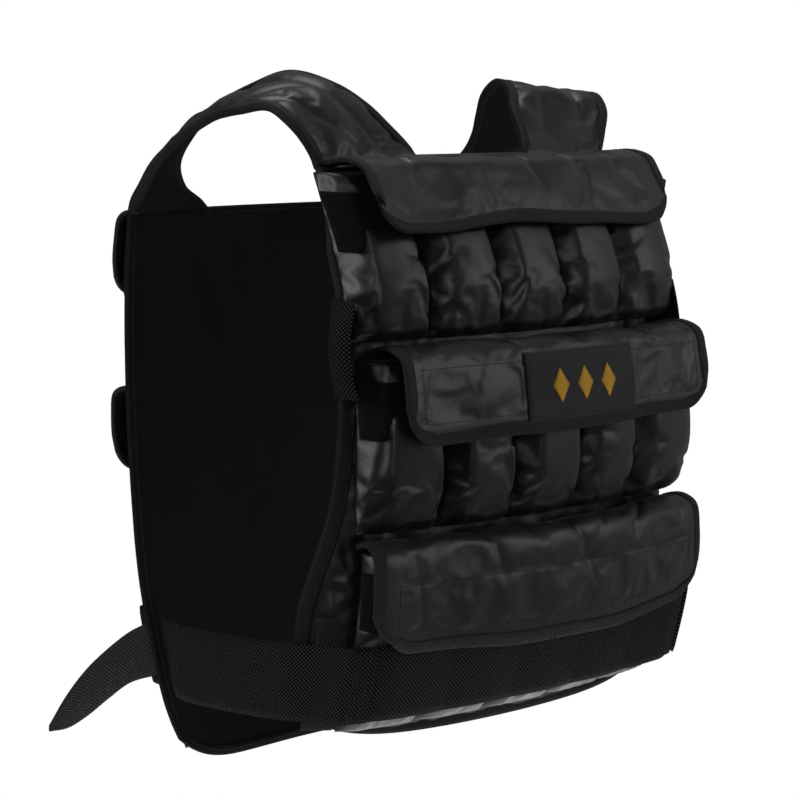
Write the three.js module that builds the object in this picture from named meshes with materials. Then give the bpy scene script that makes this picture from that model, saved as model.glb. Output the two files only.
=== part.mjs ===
// Weighted training vest: padded front and back panels, two shoulder straps, rows of filled
// pockets closed by bound flaps, and a webbing waist belt with one long free end.
// Millimetres, +Z up. The front faces -Y and the wearer's right is -X. The origin lies midway
// between the two shoulder straps, at the height where they rest on the shoulders.
import * as THREE from 'three';

// Clearance between pieces that touch
const GAP = 0.3;

// Padded panels
const PANEL_THICK = 8;
const PANEL_HALF_WIDTH = 205;
const PANEL_STEPS = [14, 12];
const FRONT_TOP = -50;
const FRONT_HEIGHT = 438;
const FRONT_REACH = 152;
const BACK_TOP = -101;
const BACK_HEIGHT = 440;
const BACK_REACH = 142;
const PANEL_BOW = 18;
const WING_SETBACK = 23;
const WING_LEAD = 7;
const SHOULDER_SLOPE = 8;
const HEM_CORNER_RISE = 22;
const HEM_CORNER_POWER = 6;
const NECK_HALF_FRONT = 62;
const NECK_HALF_BACK = 93;

// Shoulder straps
const STRAP_THICK = 10;
const STRAP_EDGE_PADDING = 0.72;
const STRAP_RISE = 82;
const STRAP_SWING = 73;
const STRAP_STEPS = [4, 22];

// Filled pockets
const POCKET_COLUMNS = 5;
const BLOCK_MARGIN = 30;
const POCKET_PITCH = 2 * (PANEL_HALF_WIDTH - BLOCK_MARGIN) / POCKET_COLUMNS;
const POCKET_SPLIT = 3;
const POCKET_MOUTH_SPLIT = 16;
const POCKET_SEAT = 0.7;
const POCKET_SIDE = 0.62;
const POCKET_HEIGHT = 130;
const POCKET_DEPTH = 29;
const POCKET_STEPS = [4, 5];
const ROW_PITCH = 143;
const FRONT_FIRST_ROW_FOOT = FRONT_TOP - 136;
const BACK_FIRST_ROW_FOOT = BACK_TOP - 142;

// Flaps over the pockets, and the loop tape that they close on
const FLAP_THICK = 2.5;
const FLAP_LENGTH = 70;
const FLAP_STANDOFF = 38;
const FLAP_CORNER = 28;
const FLAP_FLARE = 20;
const FLAP_RISE = 10.5;
const FLAP_STEPS = [12, 7];
const FLAP_END_PACKING = 0.6;
const TAPE_THICK = 1.2;
const TAPE_HEIGHT = 44;
const TAPE_DROP = 14;
const TAPE_STEPS = [12, 1];

// Label patch on the middle front flap
const LABEL_WIDTH = 122;
const LABEL_ACROSS = 20;
const LABEL_THICK = 0.8;
const LABEL_RUN_START = 0.44;
const LABEL_RUN_SHARE = 0.48;
const LABEL_STEPS = [6, 3];

// Waist belt
const BELT_WIDTH = 60;
const BELT_THICK = 2;
const BELT_SEAT = 0.9;
const BELT_ABOVE_HEM = 40;
const BELT_LEVEL = FRONT_TOP - FRONT_HEIGHT + BELT_ABOVE_HEM;
const BELT_PITCH_DOWN = 0.055;
const BELT_SIDE_CLEARANCE = 6;
const BELT_SIDE_X = PANEL_HALF_WIDTH + BELT_SIDE_CLEARANCE;
const BELT_END_SHARE = 1.03;
const BELT_DIP_START_SHARE = 0.9;
const BELT_BACK_END_SHARE = 1.095;
const BELT_LAP_START_SHARE = 0.965;
const BELT_LAP_END_SHARE = 1;
const BELT_END_DIP_SHARE = 0.84;
const BELT_TUCK_SHARES = [1.04, 0.95];
const BELT_STATIONS = 20;
const BELT_FRONT_STEPS = 20;
const BELT_BACK_STEPS = 28;
const BELT_SIDE_STEPS = 22;
const TAIL_ROOT_WIDTH = 46;
const TAIL_OUT = 52;
const TAIL_BACK = 52;
const TAIL_DROP = 90;
const TAIL_ROOT_RISE = 2;
const TAIL_STEPS = [12, 2];

// Side tabs and belt keepers
const TAB_HEIGHT = 72;
const TAB_TOP = FRONT_TOP - 104;
const TAB_WIDTH = 18;
const TAB_BULGE = 18;
const TAB_END_BULGE = 0.45;
const TAB_TURN = 0.75;
const TAB_STEPS = [4, 4];
const KEEPER_WIDTH = 19;
const KEEPER_LENGTH = 90;
const KEEPER_CLEARANCE = 1.5;
const KEEPER_BELOW_BELT_TOP = 0.8;
const KEEPER_STEPS = [3, 4];

// Steps over which slopes are taken: across a panel in mm, and along a run as a share of it
const SLOPE_STEP = 0.5;
const RUN_STEP = 0.01;
const WAY_STEP = 0.02;

const BLOCK_HALF = POCKET_PITCH * POCKET_COLUMNS / 2;
// Distance that the belt's middle stands off each panel
const FRONT_BELT_OFF = POCKET_SEAT + POCKET_DEPTH + BELT_SEAT + BELT_THICK / 2;
const BACK_BELT_OFF = FLAP_STANDOFF + GAP + BELT_THICK / 2;
const BACK_END_OFF = 2 * GAP + BELT_THICK / 2;
const WING_START = BLOCK_HALF - WING_LEAD;

// Sections of the panels, from the hem up. up: share of the panel's height. half: share of
// PANEL_HALF_WIDTH. reach: share of the panel's reach. bow: share of PANEL_BOW by which the
// pocket block's edge lies behind the middle. wing: share of WING_SETBACK at the panel's edge.
const FRONT_SECTIONS = [
  { up: 0.000, half: 0.980, reach: 0.860, bow: 1.00, wing: 0.90 },
  { up: 0.185, half: 1.000, reach: 0.987, bow: 1.00, wing: 1.00 },
  { up: 0.393, half: 0.927, reach: 1.000, bow: 0.98, wing: 0.90 },
  { up: 0.600, half: 0.880, reach: 0.967, bow: 1.10, wing: 0.28 },
  { up: 0.763, half: 0.860, reach: 0.885, bow: 0.95, wing: 0.20 },
  { up: 0.847, half: 0.850, reach: 0.785, bow: 0.85, wing: 0.20 },
  { up: 0.926, half: 0.800, reach: 0.668, bow: 0.80, wing: 0.40 },
  { up: 1.000, half: 0.785, reach: 0.560, bow: 0.80, wing: 0.40 },
];
const BACK_SECTIONS = [
  { up: 0.000, half: 0.885, reach: 0.480, bow: 1.05, wing: 0.00 },
  { up: 0.078, half: 0.915, reach: 0.620, bow: 1.00, wing: 0.00 },
  { up: 0.274, half: 0.940, reach: 0.800, bow: 1.00, wing: 0.00 },
  { up: 0.437, half: 0.935, reach: 0.900, bow: 1.00, wing: 0.00 },
  { up: 0.655, half: 0.925, reach: 0.980, bow: 1.00, wing: 0.00 },
  { up: 0.840, half: 0.922, reach: 1.000, bow: 1.00, wing: 0.00 },
  { up: 1.000, half: 0.925, reach: 0.970, bow: 1.00, wing: 0.00 },
];

// Stations of a shoulder strap, from the front panel to the back panel. to: station's share of
// the strap's length. neck and arm: share of the way back of each edge. neckRise and armRise:
// shares of STRAP_RISE. neckOut and armOut: shares of STRAP_SWING. droop: share of the strap's own
// droop by which the arm edge hangs lower.
const STRAP_STATIONS = [
  {
    to: 0.00, neck: 0.000, neckRise: 0.00, neckOut: 0.00,
    arm: 0.000, armRise: 0.00, armOut: 0.00, droop: 0.00,
  },
  {
    to: 0.09, neck: 0.080, neckRise: 0.27, neckOut: 0.11,
    arm: 0.020, armRise: 0.23, armOut: 0.12, droop: 0.00,
  },
  {
    to: 0.18, neck: 0.167, neckRise: 0.54, neckOut: 0.20,
    arm: 0.060, armRise: 0.43, armOut: 0.24, droop: 0.00,
  },
  {
    to: 0.28, neck: 0.257, neckRise: 0.78, neckOut: 0.38,
    arm: 0.150, armRise: 0.61, armOut: 0.28, droop: 0.02,
  },
  {
    to: 0.42, neck: 0.410, neckRise: 0.99, neckOut: 0.55,
    arm: 0.300, armRise: 0.65, armOut: 0.26, droop: 0.18,
  },
  {
    to: 0.55, neck: 0.550, neckRise: 0.95, neckOut: 0.67,
    arm: 0.460, armRise: 0.67, armOut: 0.19, droop: 0.72,
  },
  {
    to: 0.68, neck: 0.676, neckRise: 0.80, neckOut: 0.89,
    arm: 0.610, armRise: 0.61, armOut: 0.12, droop: 1.00,
  },
  {
    to: 0.78, neck: 0.755, neckRise: 0.59, neckOut: 0.99,
    arm: 0.740, armRise: 0.51, armOut: 0.10, droop: 0.95,
  },
  {
    to: 0.86, neck: 0.825, neckRise: 0.38, neckOut: 0.96,
    arm: 0.840, armRise: 0.38, armOut: 0.09, droop: 0.70,
  },
  {
    to: 0.93, neck: 0.900, neckRise: 0.19, neckOut: 0.66,
    arm: 0.920, armRise: 0.20, armOut: 0.06, droop: 0.35,
  },
  {
    to: 0.97, neck: 0.955, neckRise: 0.09, neckOut: 0.30,
    arm: 0.970, armRise: 0.10, armOut: 0.03, droop: 0.12,
  },
  {
    to: 1.00, neck: 1.000, neckRise: 0.00, neckOut: 0.00,
    arm: 1.000, armRise: 0.00, armOut: 0.00, droop: 0.00,
  },
];

// Bulge of a pocket, from its foot up. up: share of POCKET_HEIGHT. depth: share of POCKET_DEPTH.
const POCKET_PROFILE = [
  { up: 0.00, depth: 0.56 },
  { up: 0.07, depth: 0.86 },
  { up: 0.25, depth: 0.99 },
  { up: 0.45, depth: 1.00 },
  { up: 0.65, depth: 0.98 },
  { up: 0.85, depth: 0.92 },
  { up: 1.00, depth: 0.78 },
];

// Section of a flap from its seam to its lip. run: share of the cloth's run. out: share of
// FLAP_STANDOFF. down: share of FLAP_LENGTH below the crown.
const FLAP_PROFILE = [
  { run: 0.00, out: 0.02, down: 0.07 },
  { run: 0.14, out: 0.34, down: 0.00 },
  { run: 0.28, out: 0.66, down: 0.00 },
  { run: 0.42, out: 0.93, down: 0.10 },
  { run: 0.60, out: 1.00, down: 0.38 },
  { run: 0.80, out: 1.02, down: 0.69 },
  { run: 1.00, out: 1.01, down: 1.00 },
];

// Belt's free end, from its root to its tip. to: share of its length. out, back: shares of
// TAIL_OUT and TAIL_BACK. top: share of TAIL_DROP of the upper edge. width: of the root's width.
const TAIL_STATIONS = [
  { to: 0.00, out: 0.00, back: 0.00, top: 0.000, width: 1.00 },
  { to: 0.20, out: 0.22, back: 0.28, top: 0.115, width: 0.92 },
  { to: 0.40, out: 0.40, back: 0.52, top: 0.270, width: 0.91 },
  { to: 0.60, out: 0.58, back: 0.74, top: 0.455, width: 0.86 },
  { to: 0.80, out: 0.77, back: 0.90, top: 0.680, width: 0.62 },
  { to: 1.00, out: 1.00, back: 1.00, top: 0.960, width: 0.10 },
];

// Rows of pockets with their flaps. foot: share of ROW_PITCH below the first row's foot. tall:
// share of POCKET_HEIGHT. lip: share of FLAP_LENGTH. standoff: share of FLAP_STANDOFF. rightEnd
// and leftEnd: flap's ends as shares of the pocket block's half width. rightFlare and leftFlare:
// shares of FLAP_FLARE by which those ends stand out.
const FRONT_ROWS = [
  {
    foot: 0.00, tall: 0.96, lip: 0.76, standoff: 0.97,
    rightEnd: 0.90, leftEnd: 1.02, rightFlare: 1.0, leftFlare: 0.1,
  },
  {
    foot: 1.00, tall: 1.00, lip: 1.00, standoff: 1.02,
    rightEnd: 0.90, leftEnd: 1.01, rightFlare: 0.6, leftFlare: 0.4,
  },
  {
    foot: 2.08, tall: 1.08, lip: 1.14, standoff: 0.93,
    rightEnd: 1.00, leftEnd: 1.00, rightFlare: 0.5, leftFlare: 0.1,
  },
];
const BACK_ROWS = [
  {
    foot: 0.00, tall: 1.00, lip: 1.00, standoff: 0.92,
    rightEnd: 0.97, leftEnd: 0.97, rightFlare: 0.0, leftFlare: 0.0,
  },
  {
    foot: 1.00, tall: 1.00, lip: 1.00, standoff: 0.92,
    rightEnd: 0.97, leftEnd: 0.97, rightFlare: 0.2, leftFlare: 0.0,
  },
  {
    foot: 2.00, tall: 1.00, lip: 1.00, standoff: 0.92,
    rightEnd: 0.95, leftEnd: 0.95, rightFlare: 0.0, leftFlare: 0.0,
  },
];

// Belt's turn at a back corner. across: share of the block's half width. off: share of the
// distance that the belt stands off the back panel.
const BACK_BELT_CORNER = [
  { across: 1.07, off: 0.86 },
  { across: 1.09, off: 0.50 },
  { across: BELT_BACK_END_SHARE, off: BACK_END_OFF / BACK_BELT_OFF },
];

// Side run of the belt between its lap and its tuck. out: share of BELT_SIDE_X. lap, tuck: shares
// of the distances from the middle plane at which it leaves the front run and meets the back panel.
const SIDE_BELT_STATIONS = [
  { out: 0.945, lap: 0.82, tuck: 0.00 },
  { out: 0.990, lap: 0.62, tuck: 0.00 },
  { out: 1.000, lap: 0.20, tuck: 0.00 },
  { out: 0.970, lap: 0.00, tuck: 0.50 },
];

// The two straps. neckRise and armRise: shares of STRAP_RISE. swing: share of STRAP_SWING. droop:
// share of its rise that the arm edge loses behind the shoulder.
const STRAPS = [
  { name: 'shoulder_strap_right', hand: -1, neckRise: 1.00, armRise: 1.00, swing: 0.98, droop: 0.00 },
  { name: 'shoulder_strap_left', hand: 1, neckRise: 0.92, armRise: 1.16, swing: 1.12, droop: 0.55 },
];

const vest = new THREE.Group();
vest.name = 'weighted_vest';

// Value of a column at a share of the key column, on a smooth curve through the table's rows
function smooth(table, key, column, at) {
  const last = table.length - 1;
  const share = Math.min(Math.max(at, table[0][key]), table[last][key]);
  let i = 0;
  while (i < last - 1 && share > table[i + 1][key]) i += 1;
  const slope = (k) => {
    const low = table[Math.max(k - 1, 0)];
    const high = table[Math.min(k + 1, last)];
    return (high[column] - low[column]) / (high[key] - low[key]);
  };
  const span = table[i + 1][key] - table[i][key];
  const t = (share - table[i][key]) / span;
  const start = table[i][column] * (2 * t ** 3 - 3 * t ** 2 + 1);
  const end = table[i + 1][column] * (3 * t ** 2 - 2 * t ** 3);
  const leave = slope(i) * span * (t ** 3 - 2 * t ** 2 + t);
  const arrive = slope(i + 1) * span * (t ** 3 - t ** 2);
  return start + end + leave + arrive;
}

// The two panels: which way they face, and their sections
const FRONT = {
  facing: -1, top: FRONT_TOP, height: FRONT_HEIGHT, reach: FRONT_REACH,
  sections: FRONT_SECTIONS, neckHalf: NECK_HALF_FRONT, shoulderSlope: SHOULDER_SLOPE,
  firstRowFoot: FRONT_FIRST_ROW_FOOT, rows: FRONT_ROWS,
};
const BACK = {
  facing: 1, top: BACK_TOP, height: BACK_HEIGHT, reach: BACK_REACH,
  sections: BACK_SECTIONS, neckHalf: NECK_HALF_BACK, shoulderSlope: 0,
  firstRowFoot: BACK_FIRST_ROW_FOOT, rows: BACK_ROWS,
};

function upShare(panel, z) {
  return (z - panel.top) / panel.height + 1;
}

function halfWidth(panel, z) {
  return PANEL_HALF_WIDTH * smooth(panel.sections, 'up', 'half', upShare(panel, z));
}

// Distance of the panel's outer face from the vest's middle plane
function faceDepth(panel, x, z) {
  const up = upShare(panel, z);
  const middle = panel.reach * smooth(panel.sections, 'up', 'reach', up);
  const bow = PANEL_BOW * smooth(panel.sections, 'up', 'bow', up) * (x / BLOCK_HALF) ** 2;
  const past = Math.max(0, Math.abs(x) - WING_START);
  const wingWidth = PANEL_HALF_WIDTH - WING_START;
  const wing = WING_SETBACK * smooth(panel.sections, 'up', 'wing', up) * (past / wingWidth) ** 2;
  return middle - bow - wing;
}

// Point at a distance off the panel's outer face, along the face's normal in plan
function offPanel(panel, x, z, off) {
  const ahead = faceDepth(panel, x + SLOPE_STEP, z);
  const behind = faceDepth(panel, x - SLOPE_STEP, z);
  const slope = (ahead - behind) / (2 * SLOPE_STEP);
  const long = Math.hypot(slope, 1);
  const y = panel.facing * (faceDepth(panel, x, z) + off / long);
  return new THREE.Vector3(x - off * slope / long, y, z);
}

// Closed body between an inner and an outer grid of points
function shell(columns, rows, point) {
  const positions = [];
  const index = [];
  const at = (i, j, side) => (side * (rows + 1) + j) * (columns + 1) + i;
  for (const side of [0, 1]) {
    for (let j = 0; j <= rows; j += 1) {
      for (let i = 0; i <= columns; i += 1) {
        positions.push(...point(i / columns, j / rows, side).toArray());
      }
    }
  }
  const quad = (a, b, c, d) => index.push(a, b, c, a, c, d);
  for (let j = 0; j < rows; j += 1) {
    for (let i = 0; i < columns; i += 1) {
      quad(at(i, j, 1), at(i + 1, j, 1), at(i + 1, j + 1, 1), at(i, j + 1, 1));
      quad(at(i, j, 0), at(i, j + 1, 0), at(i + 1, j + 1, 0), at(i + 1, j, 0));
    }
  }
  for (let i = 0; i < columns; i += 1) {
    quad(at(i, 0, 0), at(i + 1, 0, 0), at(i + 1, 0, 1), at(i, 0, 1));
    quad(at(i, rows, 1), at(i + 1, rows, 1), at(i + 1, rows, 0), at(i, rows, 0));
  }
  for (let j = 0; j < rows; j += 1) {
    quad(at(0, j, 1), at(0, j + 1, 1), at(0, j + 1, 0), at(0, j, 0));
    quad(at(columns, j, 0), at(columns, j + 1, 0), at(columns, j + 1, 1), at(columns, j, 1));
  }
  if (signedVolume(positions, index) < 0) index.reverse();
  const geometry = new THREE.BufferGeometry();
  geometry.setAttribute('position', new THREE.Float32BufferAttribute(positions, 3));
  geometry.setIndex(index);
  geometry.computeVertexNormals();
  return geometry;
}

function signedVolume(positions, index) {
  let sum = 0;
  const a = new THREE.Vector3();
  const b = new THREE.Vector3();
  const c = new THREE.Vector3();
  for (let k = 0; k < index.length; k += 3) {
    a.fromArray(positions, 3 * index[k]);
    b.fromArray(positions, 3 * index[k + 1]);
    c.fromArray(positions, 3 * index[k + 2]);
    sum += a.dot(b.cross(c));
  }
  return sum / 6;
}

// Materials by finish
const FINISHES = {
  nylon: { color: 0x1d1c22, roughness: 0.42 },
  webbing: { color: 0x151517, roughness: 0.9 },
  tape: { color: 0x111112, roughness: 0.97 },
  label: { color: 0x161618, roughness: 0.85 },
};

function add(name, finish, geometry) {
  const { color, roughness } = FINISHES[finish];
  const material = new THREE.MeshStandardMaterial({ color, roughness, metalness: 0 });
  const mesh = new THREE.Mesh(geometry, material);
  mesh.name = name;
  vest.add(mesh);
}

// Height of a panel's upper edge at a share of its half width: level at the neck, then falling
// towards the armhole
function upperEdge(panel, across) {
  const topHalf = halfWidth(panel, panel.top);
  const fromNeck = Math.max(0, Math.abs(across) * topHalf - panel.neckHalf);
  return panel.top - panel.shoulderSlope * fromNeck / (topHalf - panel.neckHalf);
}

// Height of a panel's hem: its corners are rounded up
function hem(panel, across) {
  return panel.top - panel.height + HEM_CORNER_RISE * Math.abs(across) ** HEM_CORNER_POWER;
}

function panelPoint(panel, across, up, off) {
  const low = hem(panel, across);
  const z = low + (upperEdge(panel, across) - low) * up;
  const level = panel.top - panel.height * (1 - up);
  return offPanel(panel, across * halfWidth(panel, level), z, off);
}

function addPanel(name, panel) {
  const point = (u, v, side) => panelPoint(panel, 2 * u - 1, v, (side - 1) * PANEL_THICK);
  add(name, 'nylon', shell(...PANEL_STEPS, point));
}

// Shoulder strap: its two edges run from the front panel's upper edge to the back panel's
function strapEdge(edge, strap, to) {
  const isNeck = edge === 'neck';
  const frontHalf = halfWidth(FRONT, FRONT_TOP);
  const backHalf = halfWidth(BACK, BACK_TOP);
  const frontShare = isNeck ? NECK_HALF_FRONT / frontHalf : 1;
  const backShare = isNeck ? NECK_HALF_BACK / backHalf : 1;
  const start = panelPoint(FRONT, frontShare, 1, -PANEL_THICK / 2);
  const end = panelPoint(BACK, backShare, 1, -PANEL_THICK / 2);
  const way = smooth(STRAP_STATIONS, 'to', edge, to);
  const point = start.clone().lerp(end, way);
  const rise = `${edge}Rise`;
  const hang = isNeck ? 0 : strap.droop * smooth(STRAP_STATIONS, 'to', 'droop', to);
  const lift = STRAP_RISE * strap[rise] * smooth(STRAP_STATIONS, 'to', rise, to);
  point.z += GAP + lift * (1 - hang);
  point.x += STRAP_SWING * strap.swing * smooth(STRAP_STATIONS, 'to', `${edge}Out`, to);
  point.x *= strap.hand;
  return point;
}

function strapMiddle(strap, across, to) {
  return strapEdge('neck', strap, to).lerp(strapEdge('arm', strap, to), across);
}

// The strap's first and last sections lie on the panels' upper edges, and turn with them
function strapPoint(strap, across, to, side) {
  if (to === 0 || to === 1) {
    const panel = to === 0 ? FRONT : BACK;
    const topHalf = halfWidth(panel, panel.top);
    const neckShare = panel.neckHalf / topHalf;
    const share = neckShare + (1 - neckShare) * across;
    const point = panelPoint(panel, strap.hand * share, 1, (side - 1) * PANEL_THICK);
    point.z += GAP;
    return point;
  }
  const middle = strapMiddle(strap, across, to);
  const ahead = strapMiddle(strap, across, Math.min(1, to + WAY_STEP));
  const behind = strapMiddle(strap, across, Math.max(0, to - WAY_STEP));
  const along = ahead.sub(behind);
  const over = strapEdge('arm', strap, to).sub(strapEdge('neck', strap, to));
  const normal = over.cross(along).normalize().multiplyScalar(-strap.hand);
  const round = (1 - STRAP_EDGE_PADDING) * Math.sin(Math.PI * across);
  const padding = STRAP_THICK * (STRAP_EDGE_PADDING + round);
  const thick = PANEL_THICK + (padding - PANEL_THICK) * Math.sin(Math.PI * to);
  return middle.addScaledVector(normal, (side - 0.5) * thick);
}

function addStrap(strap) {
  const point = (u, v, side) => strapPoint(strap, u, v, side);
  add(strap.name, 'nylon', shell(...STRAP_STEPS, point));
}

function rowFoot(panel, row) {
  return panel.firstRowFoot - panel.rows[row].foot * ROW_PITCH;
}

// Depth of a pocket at shares of its width and height
function pocketDepth(across, up) {
  const round = POCKET_SIDE + (1 - POCKET_SIDE) * Math.sin(Math.PI * across) ** 0.5;
  return POCKET_DEPTH * smooth(POCKET_PROFILE, 'up', 'depth', up) * round;
}

// Filled pocket: wide at its foot, gathered at its mouth, round in front
function pocketPoint(panel, row, column, u, v, side) {
  const height = POCKET_HEIGHT * panel.rows[row].tall;
  const width = POCKET_PITCH - POCKET_SPLIT - (POCKET_MOUTH_SPLIT - POCKET_SPLIT) * v ** 2;
  const across = 0.5 - 0.5 * Math.cos(Math.PI * u);
  const x = (column - (POCKET_COLUMNS - 1) / 2) * POCKET_PITCH + (across - 0.5) * width;
  const off = POCKET_SEAT + side * pocketDepth(across, v);
  return offPanel(panel, x, rowFoot(panel, row) + height * v, off);
}

function addPockets(label, panel) {
  for (let row = 0; row < panel.rows.length; row += 1) {
    for (let column = 0; column < POCKET_COLUMNS; column += 1) {
      const name = `pocket_${label}_r${row + 1}_c${column + 1}`;
      const point = (u, v, side) => pocketPoint(panel, row, column, u, v, side);
      add(name, 'nylon', shell(...POCKET_STEPS, point));
    }
  }
}

// Loop tape across the mouths of a row of pockets
function addTape(name, panel, row) {
  const top = rowFoot(panel, row) + POCKET_HEIGHT * panel.rows[row].tall - TAPE_DROP;
  const point = (u, v, side) => {
    const x = (2 * u - 1) * (BLOCK_HALF - POCKET_SPLIT);
    const off = POCKET_SEAT + POCKET_DEPTH + GAP + side * TAPE_THICK;
    return offPanel(panel, x, top - TAPE_HEIGHT * (1 - v), off);
  };
  add(name, 'tape', shell(...TAPE_STEPS, point));
}

// Flap: sewn on above its row, carried over the pockets' mouths and down their fronts
function flapPoint(panel, row, x, run, lift) {
  const { tall, lip, standoff, rightEnd, leftEnd, rightFlare, leftFlare } = panel.rows[row];
  const half = BLOCK_HALF * (x < 0 ? rightEnd : leftEnd);
  const inset = Math.max(0, Math.abs(x) - (half - FLAP_CORNER));
  const corner = FLAP_CORNER - Math.sqrt(Math.max(0, FLAP_CORNER ** 2 - inset ** 2));
  const length = FLAP_LENGTH * lip;
  const crownZ = rowFoot(panel, row) + POCKET_HEIGHT * tall + FLAP_RISE;
  const towardsEnd = Math.max(0, 2 * Math.abs(x) / half - 1);
  const flare = FLAP_FLARE * (x < 0 ? rightFlare : leftFlare) * towardsEnd ** 2;
  const section = (share) => {
    const out = smooth(FLAP_PROFILE, 'run', 'out', share);
    const down = smooth(FLAP_PROFILE, 'run', 'down', share);
    const off = FLAP_STANDOFF * standoff * out + flare * out;
    return [off, crownZ - length * down + corner * Math.max(0, down) ** 2];
  };
  const [off, z] = section(run);
  const [offA, zA] = section(Math.max(0, run - RUN_STEP));
  const [offB, zB] = section(Math.min(1, run + RUN_STEP));
  const long = Math.hypot(offB - offA, zB - zA);
  const normalOff = (zA - zB) / long;
  const normalZ = (offB - offA) / long;
  return offPanel(panel, x, z + lift * normalZ, off + lift * normalOff);
}

function addFlap(name, panel, row) {
  const { rightEnd, leftEnd } = panel.rows[row];
  const point = (u, v, side) => {
    const turn = Math.PI * FLAP_END_PACKING;
    const across = Math.sin(turn * (u - 0.5)) / Math.sin(turn / 2);
    const x = BLOCK_HALF * across * (across < 0 ? rightEnd : leftEnd);
    return flapPoint(panel, row, x, v, (side - 1) * FLAP_THICK);
  };
  add(name, 'nylon', shell(...FLAP_STEPS, point));
}

function addLabel(name, panel, row) {
  const point = (u, v, side) => {
    const x = LABEL_ACROSS + (u - 0.5) * LABEL_WIDTH;
    const run = LABEL_RUN_START + LABEL_RUN_SHARE * v;
    return flapPoint(panel, row, x, run, GAP + side * LABEL_THICK);
  };
  add(name, 'label', shell(...LABEL_STEPS, point));
}

// Ribbon of webbing: pathAt gives the plan path of its middle at a share of the belt's width
function beltHeight(y) {
  return BELT_LEVEL - BELT_PITCH_DOWN * y;
}

function addRibbon(name, pathAt, steps) {
  const paths = [0, 0.5, 1].map(pathAt);
  const point = (u, v, side) => {
    const path = paths[2 * v];
    const middle = path.getPoint(u);
    const tangent = path.getTangent(u);
    const normal = new THREE.Vector3(tangent.y, -tangent.x, 0).normalize();
    middle.addScaledVector(normal, (side - 0.5) * BELT_THICK);
    middle.z = beltHeight(middle.y) + (v - 0.5) * BELT_WIDTH;
    return middle;
  };
  add(name, 'webbing', shell(steps, 2, point));
}

// Point of the belt's middle off a panel, at a share of the block's half width
function beltPoint(panel, across, width, off) {
  const level = beltHeight(panel.facing * panel.reach) + (width - 0.5) * BELT_WIDTH;
  const point = offPanel(panel, across * BLOCK_HALF, level, off);
  point.z = 0;
  return point;
}

// The belt dips towards the panel at the block's corners
function lapPart(across) {
  const way = (across - BELT_DIP_START_SHARE) / (BELT_END_SHARE - BELT_DIP_START_SHARE);
  return 1 - (1 - BELT_END_DIP_SHARE) * way;
}

function addBelt() {
  const stations = Array.from({ length: BELT_STATIONS + 1 }, (_, k) => 2 * k / BELT_STATIONS - 1);
  const middle = stations.map((across) => ({ across, off: 1 }));
  const end = { across: BELT_LAP_END_SHARE, off: lapPart(BELT_LAP_END_SHARE) };
  const mirrored = ({ across, off }) => ({ across: -across, off });
  const frontShares = [mirrored(end), ...middle.slice(1, -1), end];
  const corner = BACK_BELT_CORNER;
  const backShares = [...corner.map(mirrored).reverse(), ...middle, ...corner];
  const run = (panel, standoff, shares) => (width) => new THREE.CatmullRomCurve3(
    shares.map(({ across, off }) => beltPoint(panel, across, width, standoff * off)));
  addRibbon('belt_front', run(FRONT, FRONT_BELT_OFF, frontShares), BELT_FRONT_STEPS);
  addRibbon('belt_back', run(BACK, BACK_BELT_OFF, backShares), BELT_BACK_STEPS);
}

// Side run of the belt: lapped over the front run, past the panel's edge, in behind the back panel
function addSideBelt(name, hand) {
  const lapOff = BELT_THICK + GAP;
  const inner = -PANEL_THICK - BELT_SEAT - BELT_THICK / 2;
  const pathAt = (width) => {
    const lap = [BELT_LAP_START_SHARE, BELT_LAP_END_SHARE, BELT_END_SHARE].map((across) => (
      beltPoint(FRONT, across, width, FRONT_BELT_OFF * lapPart(across) + lapOff)));
    const tuck = BELT_TUCK_SHARES.map((across) => beltPoint(BACK, across, width, inner));
    const side = SIDE_BELT_STATIONS.map((station) => new THREE.Vector3(
      BELT_SIDE_X * station.out, lap[2].y * station.lap + tuck[0].y * station.tuck, 0));
    const points = [...lap, ...side, ...tuck];
    points.forEach((p) => { p.x *= hand; });
    return new THREE.CatmullRomCurve3(points, false, 'centripetal');
  };
  addRibbon(name, pathAt, BELT_SIDE_STEPS);
}

// Belt's free end, hanging off the right back corner
function addTail() {
  const root = beltPoint(BACK, -BELT_BACK_END_SHARE, 0.5, BACK_END_OFF);
  root.x -= 1.5 * BELT_THICK + GAP;
  root.y += BELT_THICK;
  const top = beltHeight(root.y) + TAIL_ROOT_WIDTH / 2 + TAIL_ROOT_RISE;
  const station = (to) => {
    const x = root.x - TAIL_OUT * smooth(TAIL_STATIONS, 'to', 'out', to);
    const y = root.y + TAIL_BACK * smooth(TAIL_STATIONS, 'to', 'back', to);
    const z = top - TAIL_DROP * smooth(TAIL_STATIONS, 'to', 'top', to);
    return new THREE.Vector3(x, y, z);
  };
  const point = (u, v, side) => {
    const upper = station(u);
    const along = station(Math.min(1, u + WAY_STEP)).sub(station(Math.max(0, u - WAY_STEP)));
    const normal = new THREE.Vector3(along.y, -along.x, 0).normalize();
    const width = TAIL_ROOT_WIDTH * smooth(TAIL_STATIONS, 'to', 'width', u);
    upper.z -= width * (1 - v);
    return upper.addScaledVector(normal, (side - 0.5) * BELT_THICK);
  };
  add('belt_tail', 'webbing', shell(...TAIL_STEPS, point));
}

// Webbing tab bulging from the front panel's edge
function addTab(name, hand) {
  const point = (u, v, side) => {
    const z = TAB_TOP - TAB_HEIGHT * (1 - v);
    const full = TAB_END_BULGE + (1 - TAB_END_BULGE) * Math.sin(Math.PI * v);
    const bulge = TAB_BULGE * Math.sin(TAB_TURN * Math.PI * u) * full;
    const edge = offPanel(FRONT, halfWidth(FRONT, z), z, -PANEL_THICK / 2);
    const x = edge.x + 2 * GAP + bulge + side * BELT_THICK;
    return new THREE.Vector3(hand * x, edge.y - TAB_WIDTH * u, z);
  };
  add(name, 'webbing', shell(...TAB_STEPS, point));
}

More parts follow.
